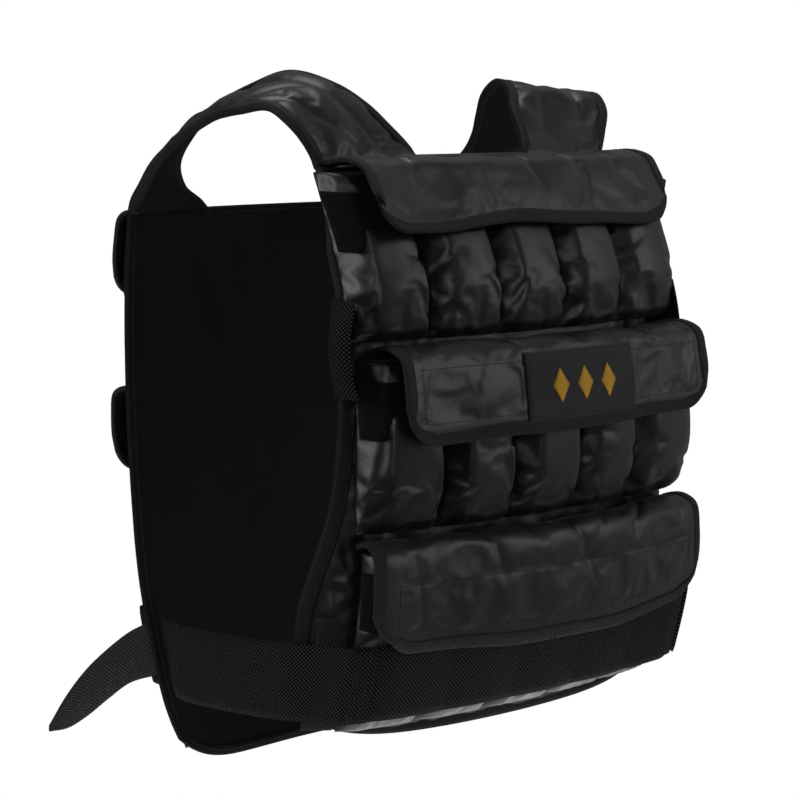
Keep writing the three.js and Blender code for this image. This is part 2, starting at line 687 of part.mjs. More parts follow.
// Keeper strip on the front panel's wing, behind the belt
function addKeeper(name, hand) {
  const level = beltHeight(-FRONT_REACH) + BELT_WIDTH / 2;
  const middle = BLOCK_HALF + KEEPER_WIDTH / 2 + KEEPER_CLEARANCE;
  const point = (u, v, side) => {
    const x = middle + KEEPER_WIDTH * (u - 0.5);
    const z = level + KEEPER_LENGTH * (v - KEEPER_BELOW_BELT_TOP);
    return offPanel(FRONT, hand * x, z, GAP + side * BELT_THICK / 2);
  };
  add(name, 'webbing', shell(...KEEPER_STEPS, point));
}

addPanel('front_panel', FRONT);
addPanel('back_panel', BACK);
STRAPS.forEach(addStrap);
for (const [label, hand] of [['right', -1], ['left', 1]]) {
  addSideBelt(`belt_side_${label}`, hand);
  addTab(`side_tab_${label}`, hand);
  addKeeper(`belt_keeper_${label}`, hand);
}
for (const [label, panel] of [['front', FRONT], ['back', BACK]]) {
  addPockets(label, panel);
  for (let row = 0; row < panel.rows.length; row += 1) {
    addFlap(`flap_${label}_${row + 1}`, panel, row);
    addTape(`loop_tape_${label}_${row + 1}`, panel, row);
  }
}
addLabel('label_patch', FRONT, 1);
addBelt();
addTail();

export default vest;
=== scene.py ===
"""Looks of a weighted training vest: crumpled nylon pockets, bound flaps, webbing belt, padded panels.

Every surface follows the form that the frame's solids have, in metres: the front faces -Y, the wearer's
right is -X, and the origin lies midway between the two shoulder straps.
"""

import logging
import math
import time
from dataclasses import dataclass
from enum import Enum
from typing import Callable, Sequence

import bpy
import numpy as np
from mathutils import Matrix, Vector, noise

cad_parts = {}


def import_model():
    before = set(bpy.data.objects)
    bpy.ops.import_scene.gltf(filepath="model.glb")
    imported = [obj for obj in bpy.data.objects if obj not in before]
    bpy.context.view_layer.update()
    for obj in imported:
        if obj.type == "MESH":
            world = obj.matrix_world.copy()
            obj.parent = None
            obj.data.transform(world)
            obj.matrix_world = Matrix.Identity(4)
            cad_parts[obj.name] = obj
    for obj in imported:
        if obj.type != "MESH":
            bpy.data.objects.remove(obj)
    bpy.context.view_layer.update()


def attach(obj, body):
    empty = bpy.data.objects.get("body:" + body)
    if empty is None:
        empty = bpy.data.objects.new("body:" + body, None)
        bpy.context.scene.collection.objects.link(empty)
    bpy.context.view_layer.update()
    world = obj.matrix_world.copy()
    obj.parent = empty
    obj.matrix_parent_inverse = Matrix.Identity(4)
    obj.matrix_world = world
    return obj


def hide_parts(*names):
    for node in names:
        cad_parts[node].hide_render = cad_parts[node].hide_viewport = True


LOG = logging.getLogger("vest")
MM = 0.001
QUARTER_TURN = 1.571
BODY = "root"
UV_NAME = "cloth"

# Clearance between pieces that touch
GAP = 0.3 * MM

# Padded panels
PANEL_THICK = 8 * MM
PANEL_HALF_WIDTH = 205 * MM
PANEL_BOW = 18 * MM
WING_SETBACK = 23 * MM
WING_LEAD = 7 * MM
HEM_CORNER_RISE = 22 * MM

# Shoulder straps
STRAP_THICK = 10 * MM
STRAP_RISE = 82 * MM
STRAP_SWING = 73 * MM
STRAP_TUCK = 2.5 * MM

# Filled pockets
POCKET_PITCH = 70 * MM
POCKET_COLUMNS = 5
POCKET_SPLIT = 1 * MM
POCKET_MOUTH_SPLIT = 11 * MM
POCKET_SEAT = 0.7 * MM
POCKET_SIDE = 0.42
POCKET_FLANKS = (0.27, 0.13)
POCKET_HEIGHT = 130 * MM
POCKET_DEPTH = 29 * MM
ROW_PITCH = 143 * MM

# Flaps, and the loop tape that they close on
FLAP_THICK = 2.5 * MM
FLAP_LENGTH = 70 * MM
FLAP_STANDOFF = 38 * MM
FLAP_CORNER = 28 * MM
FLAP_FLARE = 20 * MM
FLAP_RISE = 10.5 * MM
TAPE_THICK = 1.2 * MM
TAPE_DROP = 14 * MM
TAPE_SHOWN = 26 * MM
TAPE_END_SHOWN = 44 * MM
END_POCKET_REACH = (9 * MM, 14 * MM, 4 * MM)

# Label patch
LABEL_WIDTH = 122 * MM
LABEL_ACROSS = 20 * MM
LABEL_THICK = 0.8 * MM
LABEL_RUN = (0.44, 0.92)

# Waist belt
BELT_WIDTH = 60 * MM
BELT_THICK = 2 * MM
BELT_SEAT = 0.9 * MM
BELT_LEVEL = -448 * MM
BELT_PITCH_DOWN = 0.055
BELT_SIDE_X = 211 * MM
TAIL_ROOT_WIDTH = 46 * MM
TAIL_OUT = 52 * MM
TAIL_BACK = 52 * MM
TAIL_DROP = 90 * MM

# Side tabs and belt keepers
TAB_HEIGHT = 72 * MM
TAB_TOP = -154 * MM
TAB_WIDTH = 18 * MM
TAB_BULGE = 18 * MM
KEEPER_WIDTH = 19 * MM
KEEPER_LENGTH = 90 * MM

BLOCK_HALF = POCKET_PITCH * POCKET_COLUMNS / 2
FRONT_BELT_OFF = POCKET_SEAT + POCKET_DEPTH + BELT_SEAT + BELT_THICK / 2
BACK_BELT_OFF = FLAP_STANDOFF + GAP + BELT_THICK / 2
BACK_END_OFF = 2 * GAP + BELT_THICK / 2
WING_START = BLOCK_HALF - WING_LEAD


class Table:
    """Rows of shares under named columns, read along a smooth curve through them."""

    def __init__(self, columns: str, *rows: Sequence[float]) -> None:
        """Keeps the rows.

        Args:
            columns: names of the columns, the first being the key.
            rows: one row for each section, in order of the key.
        """
        self.columns = columns.split()
        self.rows = np.array(rows, float)

    def at(self, column: str, share: np.ndarray | float) -> np.ndarray:
        """Reads a column.

        Args:
            column: name of the column.
            share: value or values of the key.

        Returns:
            The column's values there.
        """
        keys = self.rows[:, 0]
        values = self.rows[:, self.columns.index(column)]
        slopes = np.empty_like(values)
        slopes[1:-1] = (values[2:] - values[:-2]) / (keys[2:] - keys[:-2])
        slopes[0] = (values[1] - values[0]) / (keys[1] - keys[0])
        slopes[-1] = (values[-1] - values[-2]) / (keys[-1] - keys[-2])
        where = np.clip(share, keys[0], keys[-1])
        i = np.clip(np.searchsorted(keys, where, side="left") - 1, 0, len(keys) - 2)
        span = keys[i + 1] - keys[i]
        t = (where - keys[i]) / span
        start = values[i] * (2 * t**3 - 3 * t**2 + 1)
        end = values[i + 1] * (3 * t**2 - 2 * t**3)
        leave = slopes[i] * span * (t**3 - 2 * t**2 + t)
        arrive = slopes[i + 1] * span * (t**3 - t**2)
        return start + end + leave + arrive


FRONT_SECTIONS = Table(
    "up half reach bow wing",
    (0.000, 0.980, 0.860, 1.00, 0.90),
    (0.185, 1.000, 0.987, 1.00, 1.00),
    (0.393, 0.927, 1.000, 0.98, 0.90),
    (0.600, 0.880, 0.967, 1.10, 0.28),
    (0.763, 0.860, 0.885, 0.95, 0.20),
    (0.847, 0.850, 0.785, 0.85, 0.20),
    (0.926, 0.800, 0.668, 0.80, 0.40),
    (1.000, 0.785, 0.560, 0.80, 0.40),
)
BACK_SECTIONS = Table(
    "up half reach bow wing",
    (0.000, 0.885, 0.480, 1.05, 0.00),
    (0.078, 0.915, 0.620, 1.00, 0.00),
    (0.274, 0.940, 0.800, 1.00, 0.00),
    (0.437, 0.935, 0.900, 1.00, 0.00),
    (0.655, 0.925, 0.980, 1.00, 0.00),
    (0.840, 0.922, 1.000, 1.00, 0.00),
    (1.000, 0.925, 0.970, 1.00, 0.00),
)
STRAP_STATIONS = Table(
    "to neck neckRise neckOut arm armRise armOut droop",
    (0.00, 0.000, 0.00, 0.00, 0.000, 0.00, 0.00, 0.00),
    (0.09, 0.080, 0.27, 0.11, 0.020, 0.23, 0.12, 0.00),
    (0.18, 0.167, 0.54, 0.20, 0.060, 0.43, 0.24, 0.00),
    (0.28, 0.257, 0.78, 0.38, 0.150, 0.61, 0.28, 0.02),
    (0.42, 0.410, 0.99, 0.55, 0.300, 0.65, 0.26, 0.18),
    (0.55, 0.550, 0.95, 0.67, 0.460, 0.67, 0.19, 0.72),
    (0.68, 0.676, 0.80, 0.89, 0.610, 0.61, 0.12, 1.00),
    (0.78, 0.755, 0.59, 0.99, 0.740, 0.51, 0.10, 0.95),
    (0.86, 0.825, 0.38, 0.96, 0.840, 0.38, 0.09, 0.70),
    (0.93, 0.900, 0.19, 0.66, 0.920, 0.20, 0.06, 0.35),
    (0.97, 0.955, 0.09, 0.30, 0.970, 0.10, 0.03, 0.12),
    (1.00, 1.000, 0.00, 0.00, 1.000, 0.00, 0.00, 0.00),
)
POCKET_PROFILE = Table(
    "up depth",
    (0.00, 0.46), (0.12, 0.72), (0.30, 0.94), (0.48, 1.00), (0.68, 1.00), (0.86, 0.96), (1.00, 0.85),
)
FLAP_PROFILE = Table(
    "run out down",
    (0.00, 0.02, 0.07),
    (0.14, 0.34, 0.00),
    (0.28, 0.66, 0.00),
    (0.42, 0.93, 0.10),
    (0.60, 1.00, 0.38),
    (0.80, 1.02, 0.69),
    (1.00, 1.01, 1.00),
)
TAIL_STATIONS = Table(
    "to out back top width",
    (0.00, 0.00, 0.00, 0.000, 1.00),
    (0.20, 0.22, 0.28, 0.115, 0.92),
    (0.40, 0.40, 0.52, 0.270, 0.91),
    (0.60, 0.58, 0.74, 0.455, 0.86),
    (0.80, 0.77, 0.90, 0.680, 0.62),
    (1.00, 1.00, 1.00, 0.960, 0.10),
)


@dataclass(frozen=True)
class PocketRow:
    """A row of pockets with its flap, as shares of the named sizes."""

    foot: float
    tall: float
    lip: float
    standoff: float
    right_end: float
    left_end: float
    right_flare: float
    left_flare: float


@dataclass(frozen=True)
class Panel:
    """A padded panel: where its faces, edges and pocket rows lie."""

    label: str
    facing: int
    top: float
    height: float
    reach: float
    sections: Table
    neck_half: float
    shoulder_slope: float
    first_row_foot: float
    rows: tuple[PocketRow, ...]
    hem_drop: float = 0.0
    hem_corner: tuple[float, float] = (HEM_CORNER_RISE, 6.0)

    def half_width(self, z: np.ndarray | float) -> np.ndarray:
        """Half width at a height."""
        return PANEL_HALF_WIDTH * self.sections.at("half", (z - self.top) / self.height + 1)

    def face(self, x: np.ndarray, z: np.ndarray) -> np.ndarray:
        """Distance of the outer face from the vest's middle plane."""
        up = (z - self.top) / self.height + 1
        bow = PANEL_BOW * self.sections.at("bow", up) * (x / BLOCK_HALF) ** 2
        past = np.maximum(0, np.abs(x) - WING_START) / (PANEL_HALF_WIDTH - WING_START)
        wing = WING_SETBACK * self.sections.at("wing", up) * past**2
        return self.reach * self.sections.at("reach", up) - bow - wing

    def off(self, x: np.ndarray, z: np.ndarray, away: np.ndarray | float) -> np.ndarray:
        """Points off the outer face.

        Args:
            x: places across.
            z: heights.
            away: distance off the face, along its normal in plan.

        Returns:
            An array of points.
        """
        x, z, away = np.broadcast_arrays(np.asarray(x, float), z, away)
        step = 0.5 * MM
        slope = (self.face(x + step, z) - self.face(x - step, z)) / (2 * step)
        long = np.hypot(slope, 1)
        y = self.facing * (self.face(x, z) + away / long)
        return np.stack([x - away * slope / long, y, z + 0 * x], -1)

    def pressed(self, points: np.ndarray, limit: np.ndarray | float) -> np.ndarray:
        """Moves points back to a distance off the face where they stand further out.

        Args:
            points: an array of points.
            limit: greatest distance off the face.

        Returns:
            The points, none of them further out than the limit.
        """
        x, y, z = points[..., 0], points[..., 1], points[..., 2]
        step = 0.5 * MM
        slope = (self.face(x + step, z) - self.face(x - step, z)) / (2 * step)
        long = np.hypot(slope, 1)
        excess = np.maximum(0, (self.facing * y - self.face(x, z)) / long - limit)
        return np.stack([x + excess * slope / long, y - self.facing * excess / long, z], -1)

    def upper_edge(self, across: np.ndarray) -> np.ndarray:
        """Height of the upper edge: level at the neck, falling towards the armhole."""
        top_half = float(self.half_width(self.top))
        fall = np.maximum(0, np.abs(across) * top_half - self.neck_half) / (top_half - self.neck_half)
        return self.top - self.shoulder_slope * fall

    def hem(self, across: np.ndarray) -> np.ndarray:
        """Height of the hem, whose corners are rounded up."""
        rise, power = self.hem_corner
        low = self.top - self.height - self.hem_drop * (1 - across**2) ** 0.5
        return low + rise * np.abs(across) ** power

    def at(self, across: np.ndarray, up: np.ndarray, away: np.ndarray | float) -> np.ndarray:
        """Points by shares of the width (-1 to 1) and of the height (0 to 1)."""
        across, up = np.broadcast_arrays(np.asarray(across, float), up)
        low = self.hem(across)
        z = low + (self.upper_edge(across) - low) * up
        return self.off(across * self.half_width(self.top - self.height * (1 - up)), z, away)

    def flatter(self, x: np.ndarray) -> np.ndarray:
        """Share of a pocket's depth at a place across: less towards the back panel's edges."""
        if self.facing < 0:
            return np.ones_like(x)
        return 1 - 0.35 * ease((np.abs(x) - 0.62 * BLOCK_HALF) / (0.38 * BLOCK_HALF))

    def row_foot(self, row: int) -> float:
        """Height of a pocket row's foot."""
        return self.first_row_foot - self.rows[row].foot * ROW_PITCH


FRONT = Panel(
    "front", -1, -50 * MM, 438 * MM, 152 * MM, FRONT_SECTIONS, 62 * MM, 8 * MM, -186 * MM,
    (
        PocketRow(0.00, 0.96, 0.76, 0.97, 0.90, 1.02, 1.0, 0.1),
        PocketRow(1.00, 1.00, 1.00, 1.02, 0.90, 1.01, 0.6, 0.4),
        PocketRow(2.08, 1.08, 1.14, 0.93, 1.00, 1.00, 0.5, 0.1),
    ),
    hem_drop=6 * MM,
)
BACK = Panel(
    "back", 1, -101 * MM, 440 * MM, 142 * MM, BACK_SECTIONS, 93 * MM, 0.0, -243 * MM,
    (
        PocketRow(0.00, 1.00, 1.00, 0.92, 0.97, 0.97, -0.4, -0.4),
        PocketRow(1.00, 1.00, 1.00, 0.92, 0.97, 0.97, -0.2, -0.4),
        PocketRow(2.00, 1.00, 1.00, 0.84, 0.82, 0.82, 0.0, 0.0),
    ),
    hem_corner=(20 * MM, 9.0),
)


def length_of(points: np.ndarray) -> float:
    """Length of a line of points."""
    return float(np.linalg.norm(np.diff(points, axis=0), axis=1).sum())


def unit(vectors: np.ndarray) -> np.ndarray:
    """Vectors of length one."""
    return vectors / np.maximum(np.linalg.norm(vectors, axis=-1, keepdims=True), 1e-12)


def ease(value: np.ndarray | float) -> np.ndarray:
    """Smooth step from 0 to 1."""
    t = np.clip(value, 0, 1)
    return t * t * (3 - 2 * t)


def grid_normals(grid: np.ndarray) -> np.ndarray:
    """Normals of a grid of points, by its rows and columns."""
    along = np.gradient(grid, axis=1)
    up = np.gradient(grid, axis=0)
    return unit(np.cross(along, up))


def ripple(
    grid: np.ndarray, size: float, seed: float, stretch: tuple[float, float, float] = (1, 1, 1),
) -> np.ndarray:
    """Smooth noise from -1 to 1 at each point of a grid.

    Args:
        grid: points.
        size: width of one ripple.
        seed: moves the pattern.
        stretch: makes ripples longer along an axis.

    Returns:
        An array with one value for each point.
    """
    flat = grid.reshape(-1, 3) / (size * np.array(stretch)) + seed * 7.31
    values = [noise.noise(Vector(p)) for p in flat]
    return np.array(values).reshape(grid.shape[:-1])


def dart(x: np.ndarray, y: np.ndarray, folds: Sequence[tuple[float, ...]]) -> np.ndarray:
    """Depth of listed folds.

    Args:
        x: places across.
        y: places along.
        folds: x and y of both ends, depth and half width of each fold.

    Returns:
        Depth at each place, positive inwards.
    """
    total = np.zeros(np.broadcast(x, y).shape)
    for ax, ay, bx, by, depth, wide in folds:
        dx, dy = bx - ax, by - ay
        t = np.clip(((x - ax) * dx + (y - ay) * dy) / (dx * dx + dy * dy), 0, 1)
        far = np.hypot(x - ax - t * dx, y - ay - t * dy)
        fade = np.sin(math.pi * np.clip(t, 0.08, 0.92)) ** 0.5
        total = total + depth * fade * np.exp(-((far / wide) ** 1.4))
    return total


def grid_quads(rows: int, columns: int, start: int) -> np.ndarray:
    """Faces of a grid whose points are numbered row by row."""
    j, i = np.meshgrid(np.arange(rows - 1), np.arange(columns - 1), indexing="ij")
    a = start + j * columns + i
    return np.stack([a, a + 1, a + columns + 1, a + columns], -1).reshape(-1, 4)


def arc_uv(grid: np.ndarray) -> np.ndarray:
    """Cloth coordinates in metres: lengths along the grid's rows and columns."""
    across = np.linalg.norm(np.diff(grid, axis=1), axis=2).mean(0)
    up = np.linalg.norm(np.diff(grid, axis=0), axis=2).mean(1)
    u = np.concatenate([[0], np.cumsum(across)])
    v = np.concatenate([[0], np.cumsum(up)])
    return np.stack(np.meshgrid(u, v), -1)


def make_mesh(
    name: str, points: np.ndarray, faces: np.ndarray, uv: np.ndarray, materials: Sequence[bpy.types.Material],
    which: np.ndarray | None = None, smooth: bool = True,
) -> bpy.types.Object:
    """Makes a mesh object at the origin.

    Args:
        name: piece's name.
        points: vertices.
        faces: quads by vertex number.
        uv: cloth coordinates of each vertex.
        materials: finishes of the piece.
        which: index of each face's finish.
        smooth: whether the faces are shaded smooth.

    Returns:
        The new object, with its faces pointing outwards.
    """
    tri = np.concatenate([faces[:, [0, 1, 2]], faces[:, [0, 2, 3]]])
    a, b, c = (points[tri[:, k]] for k in range(3))
    if float(np.einsum("ij,ij->i", a, np.cross(b, c)).sum()) < 0:
        faces = faces[:, ::-1]
    mesh = bpy.data.meshes.new(name)
    mesh.from_pydata(points.tolist(), [], faces.tolist())
    layer = mesh.uv_layers.new(name=UV_NAME)
    layer.data.foreach_set("uv", uv[faces.reshape(-1)].astype(np.float32).reshape(-1))
    for material in materials:
        mesh.materials.append(material)
    if which is not None:
        mesh.polygons.foreach_set("material_index", which.astype(np.int32))
    mesh.polygons.foreach_set("use_smooth", np.full(len(faces), smooth))
    mesh.update()
    piece = bpy.data.objects.new(name, mesh)
    bpy.context.scene.collection.objects.link(piece)
    return piece


def shell(
    name: str, outer: np.ndarray, inner: np.ndarray, materials: Sequence[bpy.types.Material], levels: int = 0,
) -> bpy.types.Object:
    """Closed body between two grids of points.

    Args:
        name: piece's name.
        outer: outer grid.
        inner: inner grid of the same size.
        materials: finish of the outer face and edges, then of the inner face where it differs.
        levels: subdivision levels.

    Returns:
        The new object.
    """
    rows, columns = outer.shape[:2]
    count = rows * columns
    points = np.concatenate([outer.reshape(-1, 3), inner.reshape(-1, 3)])
    quads_out = grid_quads(rows, columns, 0)
    quads_in = grid_quads(rows, columns, count)[:, ::-1]
    ring = np.concatenate([
        np.arange(columns),
        np.arange(1, rows) * columns + columns - 1,
        (rows - 1) * columns + np.arange(columns - 2, -1, -1),
        np.arange(rows - 2, 0, -1) * columns,
    ])
    following = np.roll(ring, -1)
    band = np.stack([ring, ring + count, following + count, following], -1)
    faces = np.concatenate([quads_out, quads_in, band])
    uv = np.tile(arc_uv(outer).reshape(-1, 2), (2, 1))
    which = np.zeros(len(faces), int)
    if len(materials) > 1:
        which[len(quads_out):len(quads_out) + len(quads_in)] = 1
    piece = make_mesh(name, points, faces, uv, materials, which)
    if levels:
        add_subdivision(piece, levels)
    return piece


def add_subdivision(piece: bpy.types.Object, levels: int) -> None:
    """Finishes a piece with a subdivision surface."""
    smooth = piece.modifiers.new("finer", "SUBSURF")
    smooth.levels = smooth.render_levels = levels


def sweep(
    name: str, path: np.ndarray, inward: np.ndarray, normal: np.ndarray, section: np.ndarray,
    material: bpy.types.Material,
) -> bpy.types.Object:
    """Sweeps a closed section along a path, and closes its two ends.

    Args:
        name: piece's name.
        path: points of the path.
        inward: unit vectors for the section's first coordinate.
        normal: unit vectors for the section's second coordinate.
        section: outline of the section, as pairs.
        material: finish.

    Returns:
        The new object.
    """
    count, sides = len(path), len(section)
    body = path[:, None] + inward[:, None] * section[None, :, :1] + normal[:, None] * section[None, :, 1:]
    points = body.reshape(-1, 3)
    quads = []
    for k in range(count - 1):
        a, b = k * sides, (k + 1) * sides
        for s in range(sides):
            t = (s + 1) % sides
            quads.append((a + s, a + t, b + t, b + s))
    around = np.concatenate([[0], np.cumsum(np.linalg.norm(np.diff(section, axis=0), axis=1))])
    along = np.concatenate([[0], np.cumsum(np.linalg.norm(np.diff(path, axis=0), axis=1))])
    uv = np.stack(np.meshgrid(around, along), -1)[..., ::-1].reshape(-1, 2)
    first, second = len(points), len(points) + 1
    points = np.concatenate([points, body[0].mean(0)[None], body[-1].mean(0)[None]])
    uv = np.concatenate([uv, uv[:1], uv[-1:]])
    end = (count - 1) * sides
    for s in range(0, sides, 2):
        quads.append((first, (s + 2) % sides, s + 1, s))
        quads.append((second, end + s, end + s + 1, end + (s + 2) % sides))
    return make_mesh(name, points, np.array(quads), uv, [material])


@dataclass(frozen=True)
class Relaxing:
    """How a cloth settles between the seams that hold it."""

    frames: int = 16
    pressure: float = 3.0
    extra: float = 0.05
    bending: float = 0.05
    cap: float = 6 * MM
    quality: int = 6


def relax(grids: Sequence[np.ndarray], held: Sequence[np.ndarray], recipe: Relaxing) -> list[np.ndarray]:
    """Lets grids of cloth settle, with cloth to spare between the points that are held.

    Args:
        grids: points of each cloth, faces towards the side that it swells to.
        held: which points of each grid stay.
        recipe: how it settles.

    Returns:
        The settled grids.
    """
    began = time.perf_counter()
    points, faces, pins = [], [], []
    start = 0
    for grid, mask in zip(grids, held):
        rows, columns = grid.shape[:2]
        points.append(grid.reshape(-1, 3))
        faces.append(grid_quads(rows, columns, start))
        pins.append(mask.reshape(-1))
        start += rows * columns
    rest = np.concatenate(points)
    mesh = bpy.data.meshes.new("settling")
    mesh.from_pydata(rest.tolist(), [], np.concatenate(faces).tolist())
    cloth = bpy.data.objects.new("settling", mesh)
    scene = bpy.context.scene
    scene.collection.objects.link(cloth)
    group = cloth.vertex_groups.new(name="held")
    group.add(np.nonzero(np.concatenate(pins))[0].tolist(), 1.0, "REPLACE")
    modifier = cloth.modifiers.new("settling", "CLOTH")
    settings = modifier.settings
    settings.quality = recipe.quality
    settings.mass = 0.1
    settings.air_damping = 2.0
    settings.tension_stiffness = 20
    settings.compression_stiffness = 20
    settings.shear_stiffness = 8
    settings.bending_stiffness = recipe.bending
    settings.vertex_group_mass = "held"
    settings.shrink_min = -recipe.extra
    settings.use_pressure = True
    settings.uniform_pressure_force = recipe.pressure
    settings.effector_weights.gravity = 0
    modifier.collision_settings.use_collision = False
    modifier.point_cache.frame_start = 1
    modifier.point_cache.frame_end = recipe.frames
    for frame in range(1, recipe.frames + 1):
        scene.frame_set(frame)
    settled = cloth.evaluated_get(bpy.context.evaluated_depsgraph_get())
    moved = np.empty(len(rest) * 3)
    settled.data.vertices.foreach_get("co", moved)
    scene.frame_set(1)
    bpy.data.objects.remove(cloth)
    bpy.data.meshes.remove(mesh)
    shift = moved.reshape(-1, 3) - rest
    far = np.linalg.norm(shift, axis=1, keepdims=True)
    shift *= recipe.cap * np.tanh(far / recipe.cap) / np.maximum(far, 1e-9)
    result, start = [], 0
    for grid in grids:
        size = grid.shape[0] * grid.shape[1]
        result.append(grid + shift[start:start + size].reshape(grid.shape))
        start += size
    LOG.info("settled %d points in %.1f s", start, time.perf_counter() - began)
    return result


class Weave(Enum):
    """How a finish's yarns show."""

    PLAIN = "plain"
    KNUCKLED = "knuckled"
    PILE = "pile"


@dataclass(frozen=True)
class Finish:
    """One of the vest's finishes."""

    name: str
    # Yarn colours with painted light: the first is the crowns' colour, lighter as painted highlight; the
    # second is the hollows' colour, darker as painted shade.
    lit_crown_colour: tuple[float, float, float]
    shaded_hollow_colour: tuple[float, float, float]
    roughness: tuple[float, float]
    weave: Weave
    pitch: float
    weave_depth: float
    wrinkle_depth: float = 0.0
    wrinkle_size: float = 20 * MM
    sheen: float = 0.0
    sheen_tint: tuple[float, float, float] = (1.0, 1.0, 1.0)
    specular: float = 0.5

    def material(self) -> bpy.types.Material:
        """Builds the finish's material.

        Returns:
            A procedural material that follows the piece's cloth coordinates.
        """
        material = bpy.data.materials.new(self.name)
        material.use_nodes = True
        tree = material.node_tree
        shader = tree.nodes["Principled BSDF"]
        shader.inputs["Specular IOR Level"].default_value = self.specular
        shader.inputs["Sheen Weight"].default_value = self.sheen
        shader.inputs["Sheen Tint"].default_value = (*self.sheen_tint, 1.0)
        shader.inputs["Sheen Roughness"].default_value = 0.45
        shader.inputs["Specular Tint"].default_value = (1.0, 0.94, 0.99, 1.0)
        place = tree.nodes.new("ShaderNodeTexCoord")
        cloth = tree.nodes.new("ShaderNodeUVMap")
        cloth.uv_map = UV_NAME
        yarns = self.yarns(tree, cloth.outputs["UV"])
        patches = self.noise(tree, place.outputs["Object"], 1 / (60 * MM), 3)
        # The base colour paints the yarns' light and shade: painted highlight on the crowns, painted shade in
        # the hollows.
        painted_yarn_shading = self.paint_yarn_light_and_shade(tree, yarns)
        uneven = tree.nodes.new("ShaderNodeMapRange")
        uneven.inputs["From Min"].default_value = 0.3
        uneven.inputs["From Max"].default_value = 0.7
        uneven.inputs["To Min"].default_value = self.roughness[0]
        uneven.inputs["To Max"].default_value = self.roughness[1]
        tree.links.new(patches, uneven.inputs["Value"])
        tree.links.new(uneven.outputs["Result"], shader.inputs["Roughness"])
        tree.links.new(painted_yarn_shading, shader.inputs["Base Color"])
        surface = None
        if self.wrinkle_depth:
            broad = self.noise(tree, place.outputs["Object"], 1 / self.wrinkle_size, 2, 0.7, True)
            surface = self.bump(tree, broad, self.wrinkle_depth, surface)
            fine = self.noise(tree, place.outputs["Object"], 3.3 / self.wrinkle_size, 2, 0.4, True)
            surface = self.bump(tree, fine, self.wrinkle_depth * 0.25, surface)
        surface = self.bump(tree, yarns, self.weave_depth, surface)
        tree.links.new(surface, shader.inputs["Normal"])
        return material

    def noise(
        self, tree: bpy.types.NodeTree, place: bpy.types.NodeSocket, scale: float, detail: float,
        distortion: float = 0.0, ridged: bool = False,
    ) -> bpy.types.NodeSocket:
        """Noise over the piece's own place, soft or with sharp ridges."""
        cloud = tree.nodes.new("ShaderNodeTexNoise")
        if ridged:
            cloud.noise_type = "RIDGED_MULTIFRACTAL"
        cloud.inputs["Scale"].default_value = scale
        cloud.inputs["Detail"].default_value = detail
        cloud.inputs["Distortion"].default_value = distortion
        tree.links.new(place, cloud.inputs["Vector"])
        return cloud.outputs["Fac"]

    def wave(
        self, tree: bpy.types.NodeTree, place: bpy.types.NodeSocket, direction: str, pitch: float,
        warp: float,
    ) -> bpy.types.NodeSocket:
        """Bands of a pitch across a direction."""
        bands = tree.nodes.new("ShaderNodeTexWave")
        bands.wave_type = "BANDS"
        bands.bands_direction = direction
        bands.inputs["Scale"].default_value = math.tau / 20 / pitch
        bands.inputs["Distortion"].default_value = warp
        bands.inputs["Detail"].default_value = 1.0
        bands.inputs["Detail Scale"].default_value = 1.2
        tree.links.new(place, bands.inputs["Vector"])
        return bands.outputs["Fac"]

    def yarns(self, tree: bpy.types.NodeTree, place: bpy.types.NodeSocket) -> bpy.types.NodeSocket:
        """Height of the yarns, from 0 to 1."""
        if self.weave is Weave.PILE:
            return self.noise(tree, place, 1 / self.pitch, 6, 0.6)
        if self.weave is Weave.KNUCKLED:
            turn = tree.nodes.new("ShaderNodeMapping")
            turn.inputs["Rotation"].default_value = (0.0, 0.0, math.pi / 4)
            tree.links.new(place, turn.inputs["Vector"])
            place = turn.outputs["Vector"]
        first = self.wave(tree, place, "X", self.pitch, 0.4)
        second = self.wave(tree, place, "Y", self.pitch, 0.4)
        join = tree.nodes.new("ShaderNodeMath")
        join.operation = "MULTIPLY" if self.weave is Weave.KNUCKLED else "MAXIMUM"
        tree.links.new(first, join.inputs[0])
        tree.links.new(second, join.inputs[1])
        return join.outputs["Value"]

    def paint_yarn_light_and_shade(self, tree: bpy.types.NodeTree, factor: bpy.types.NodeSocket) -> bpy.types.NodeSocket:
        """Base colour painted by yarn height: darker hollows as painted shade, lighter crowns as painted
        highlight.
        """
        mix = tree.nodes.new("ShaderNodeMix")
        mix.data_type = "RGBA"
        mix.inputs["A"].default_value = (*self.shaded_hollow_colour, 1.0)
        mix.inputs["B"].default_value = (*self.lit_crown_colour, 1.0)
        tree.links.new(factor, mix.inputs["Factor"])
        return mix.outputs["Result"]

    def bump(
        self, tree: bpy.types.NodeTree, height: bpy.types.NodeSocket, depth: float,
        below: bpy.types.NodeSocket | None,
    ) -> bpy.types.NodeSocket:
        """Relief of a depth, laid over the relief below it."""
        node = tree.nodes.new("ShaderNodeBump")
        node.inputs["Strength"].default_value = 1.0
        node.inputs["Distance"].default_value = depth
        tree.links.new(height, node.inputs["Height"])
        if below is not None:
            tree.links.new(below, node.inputs["Normal"])
        return node.outputs["Normal"]
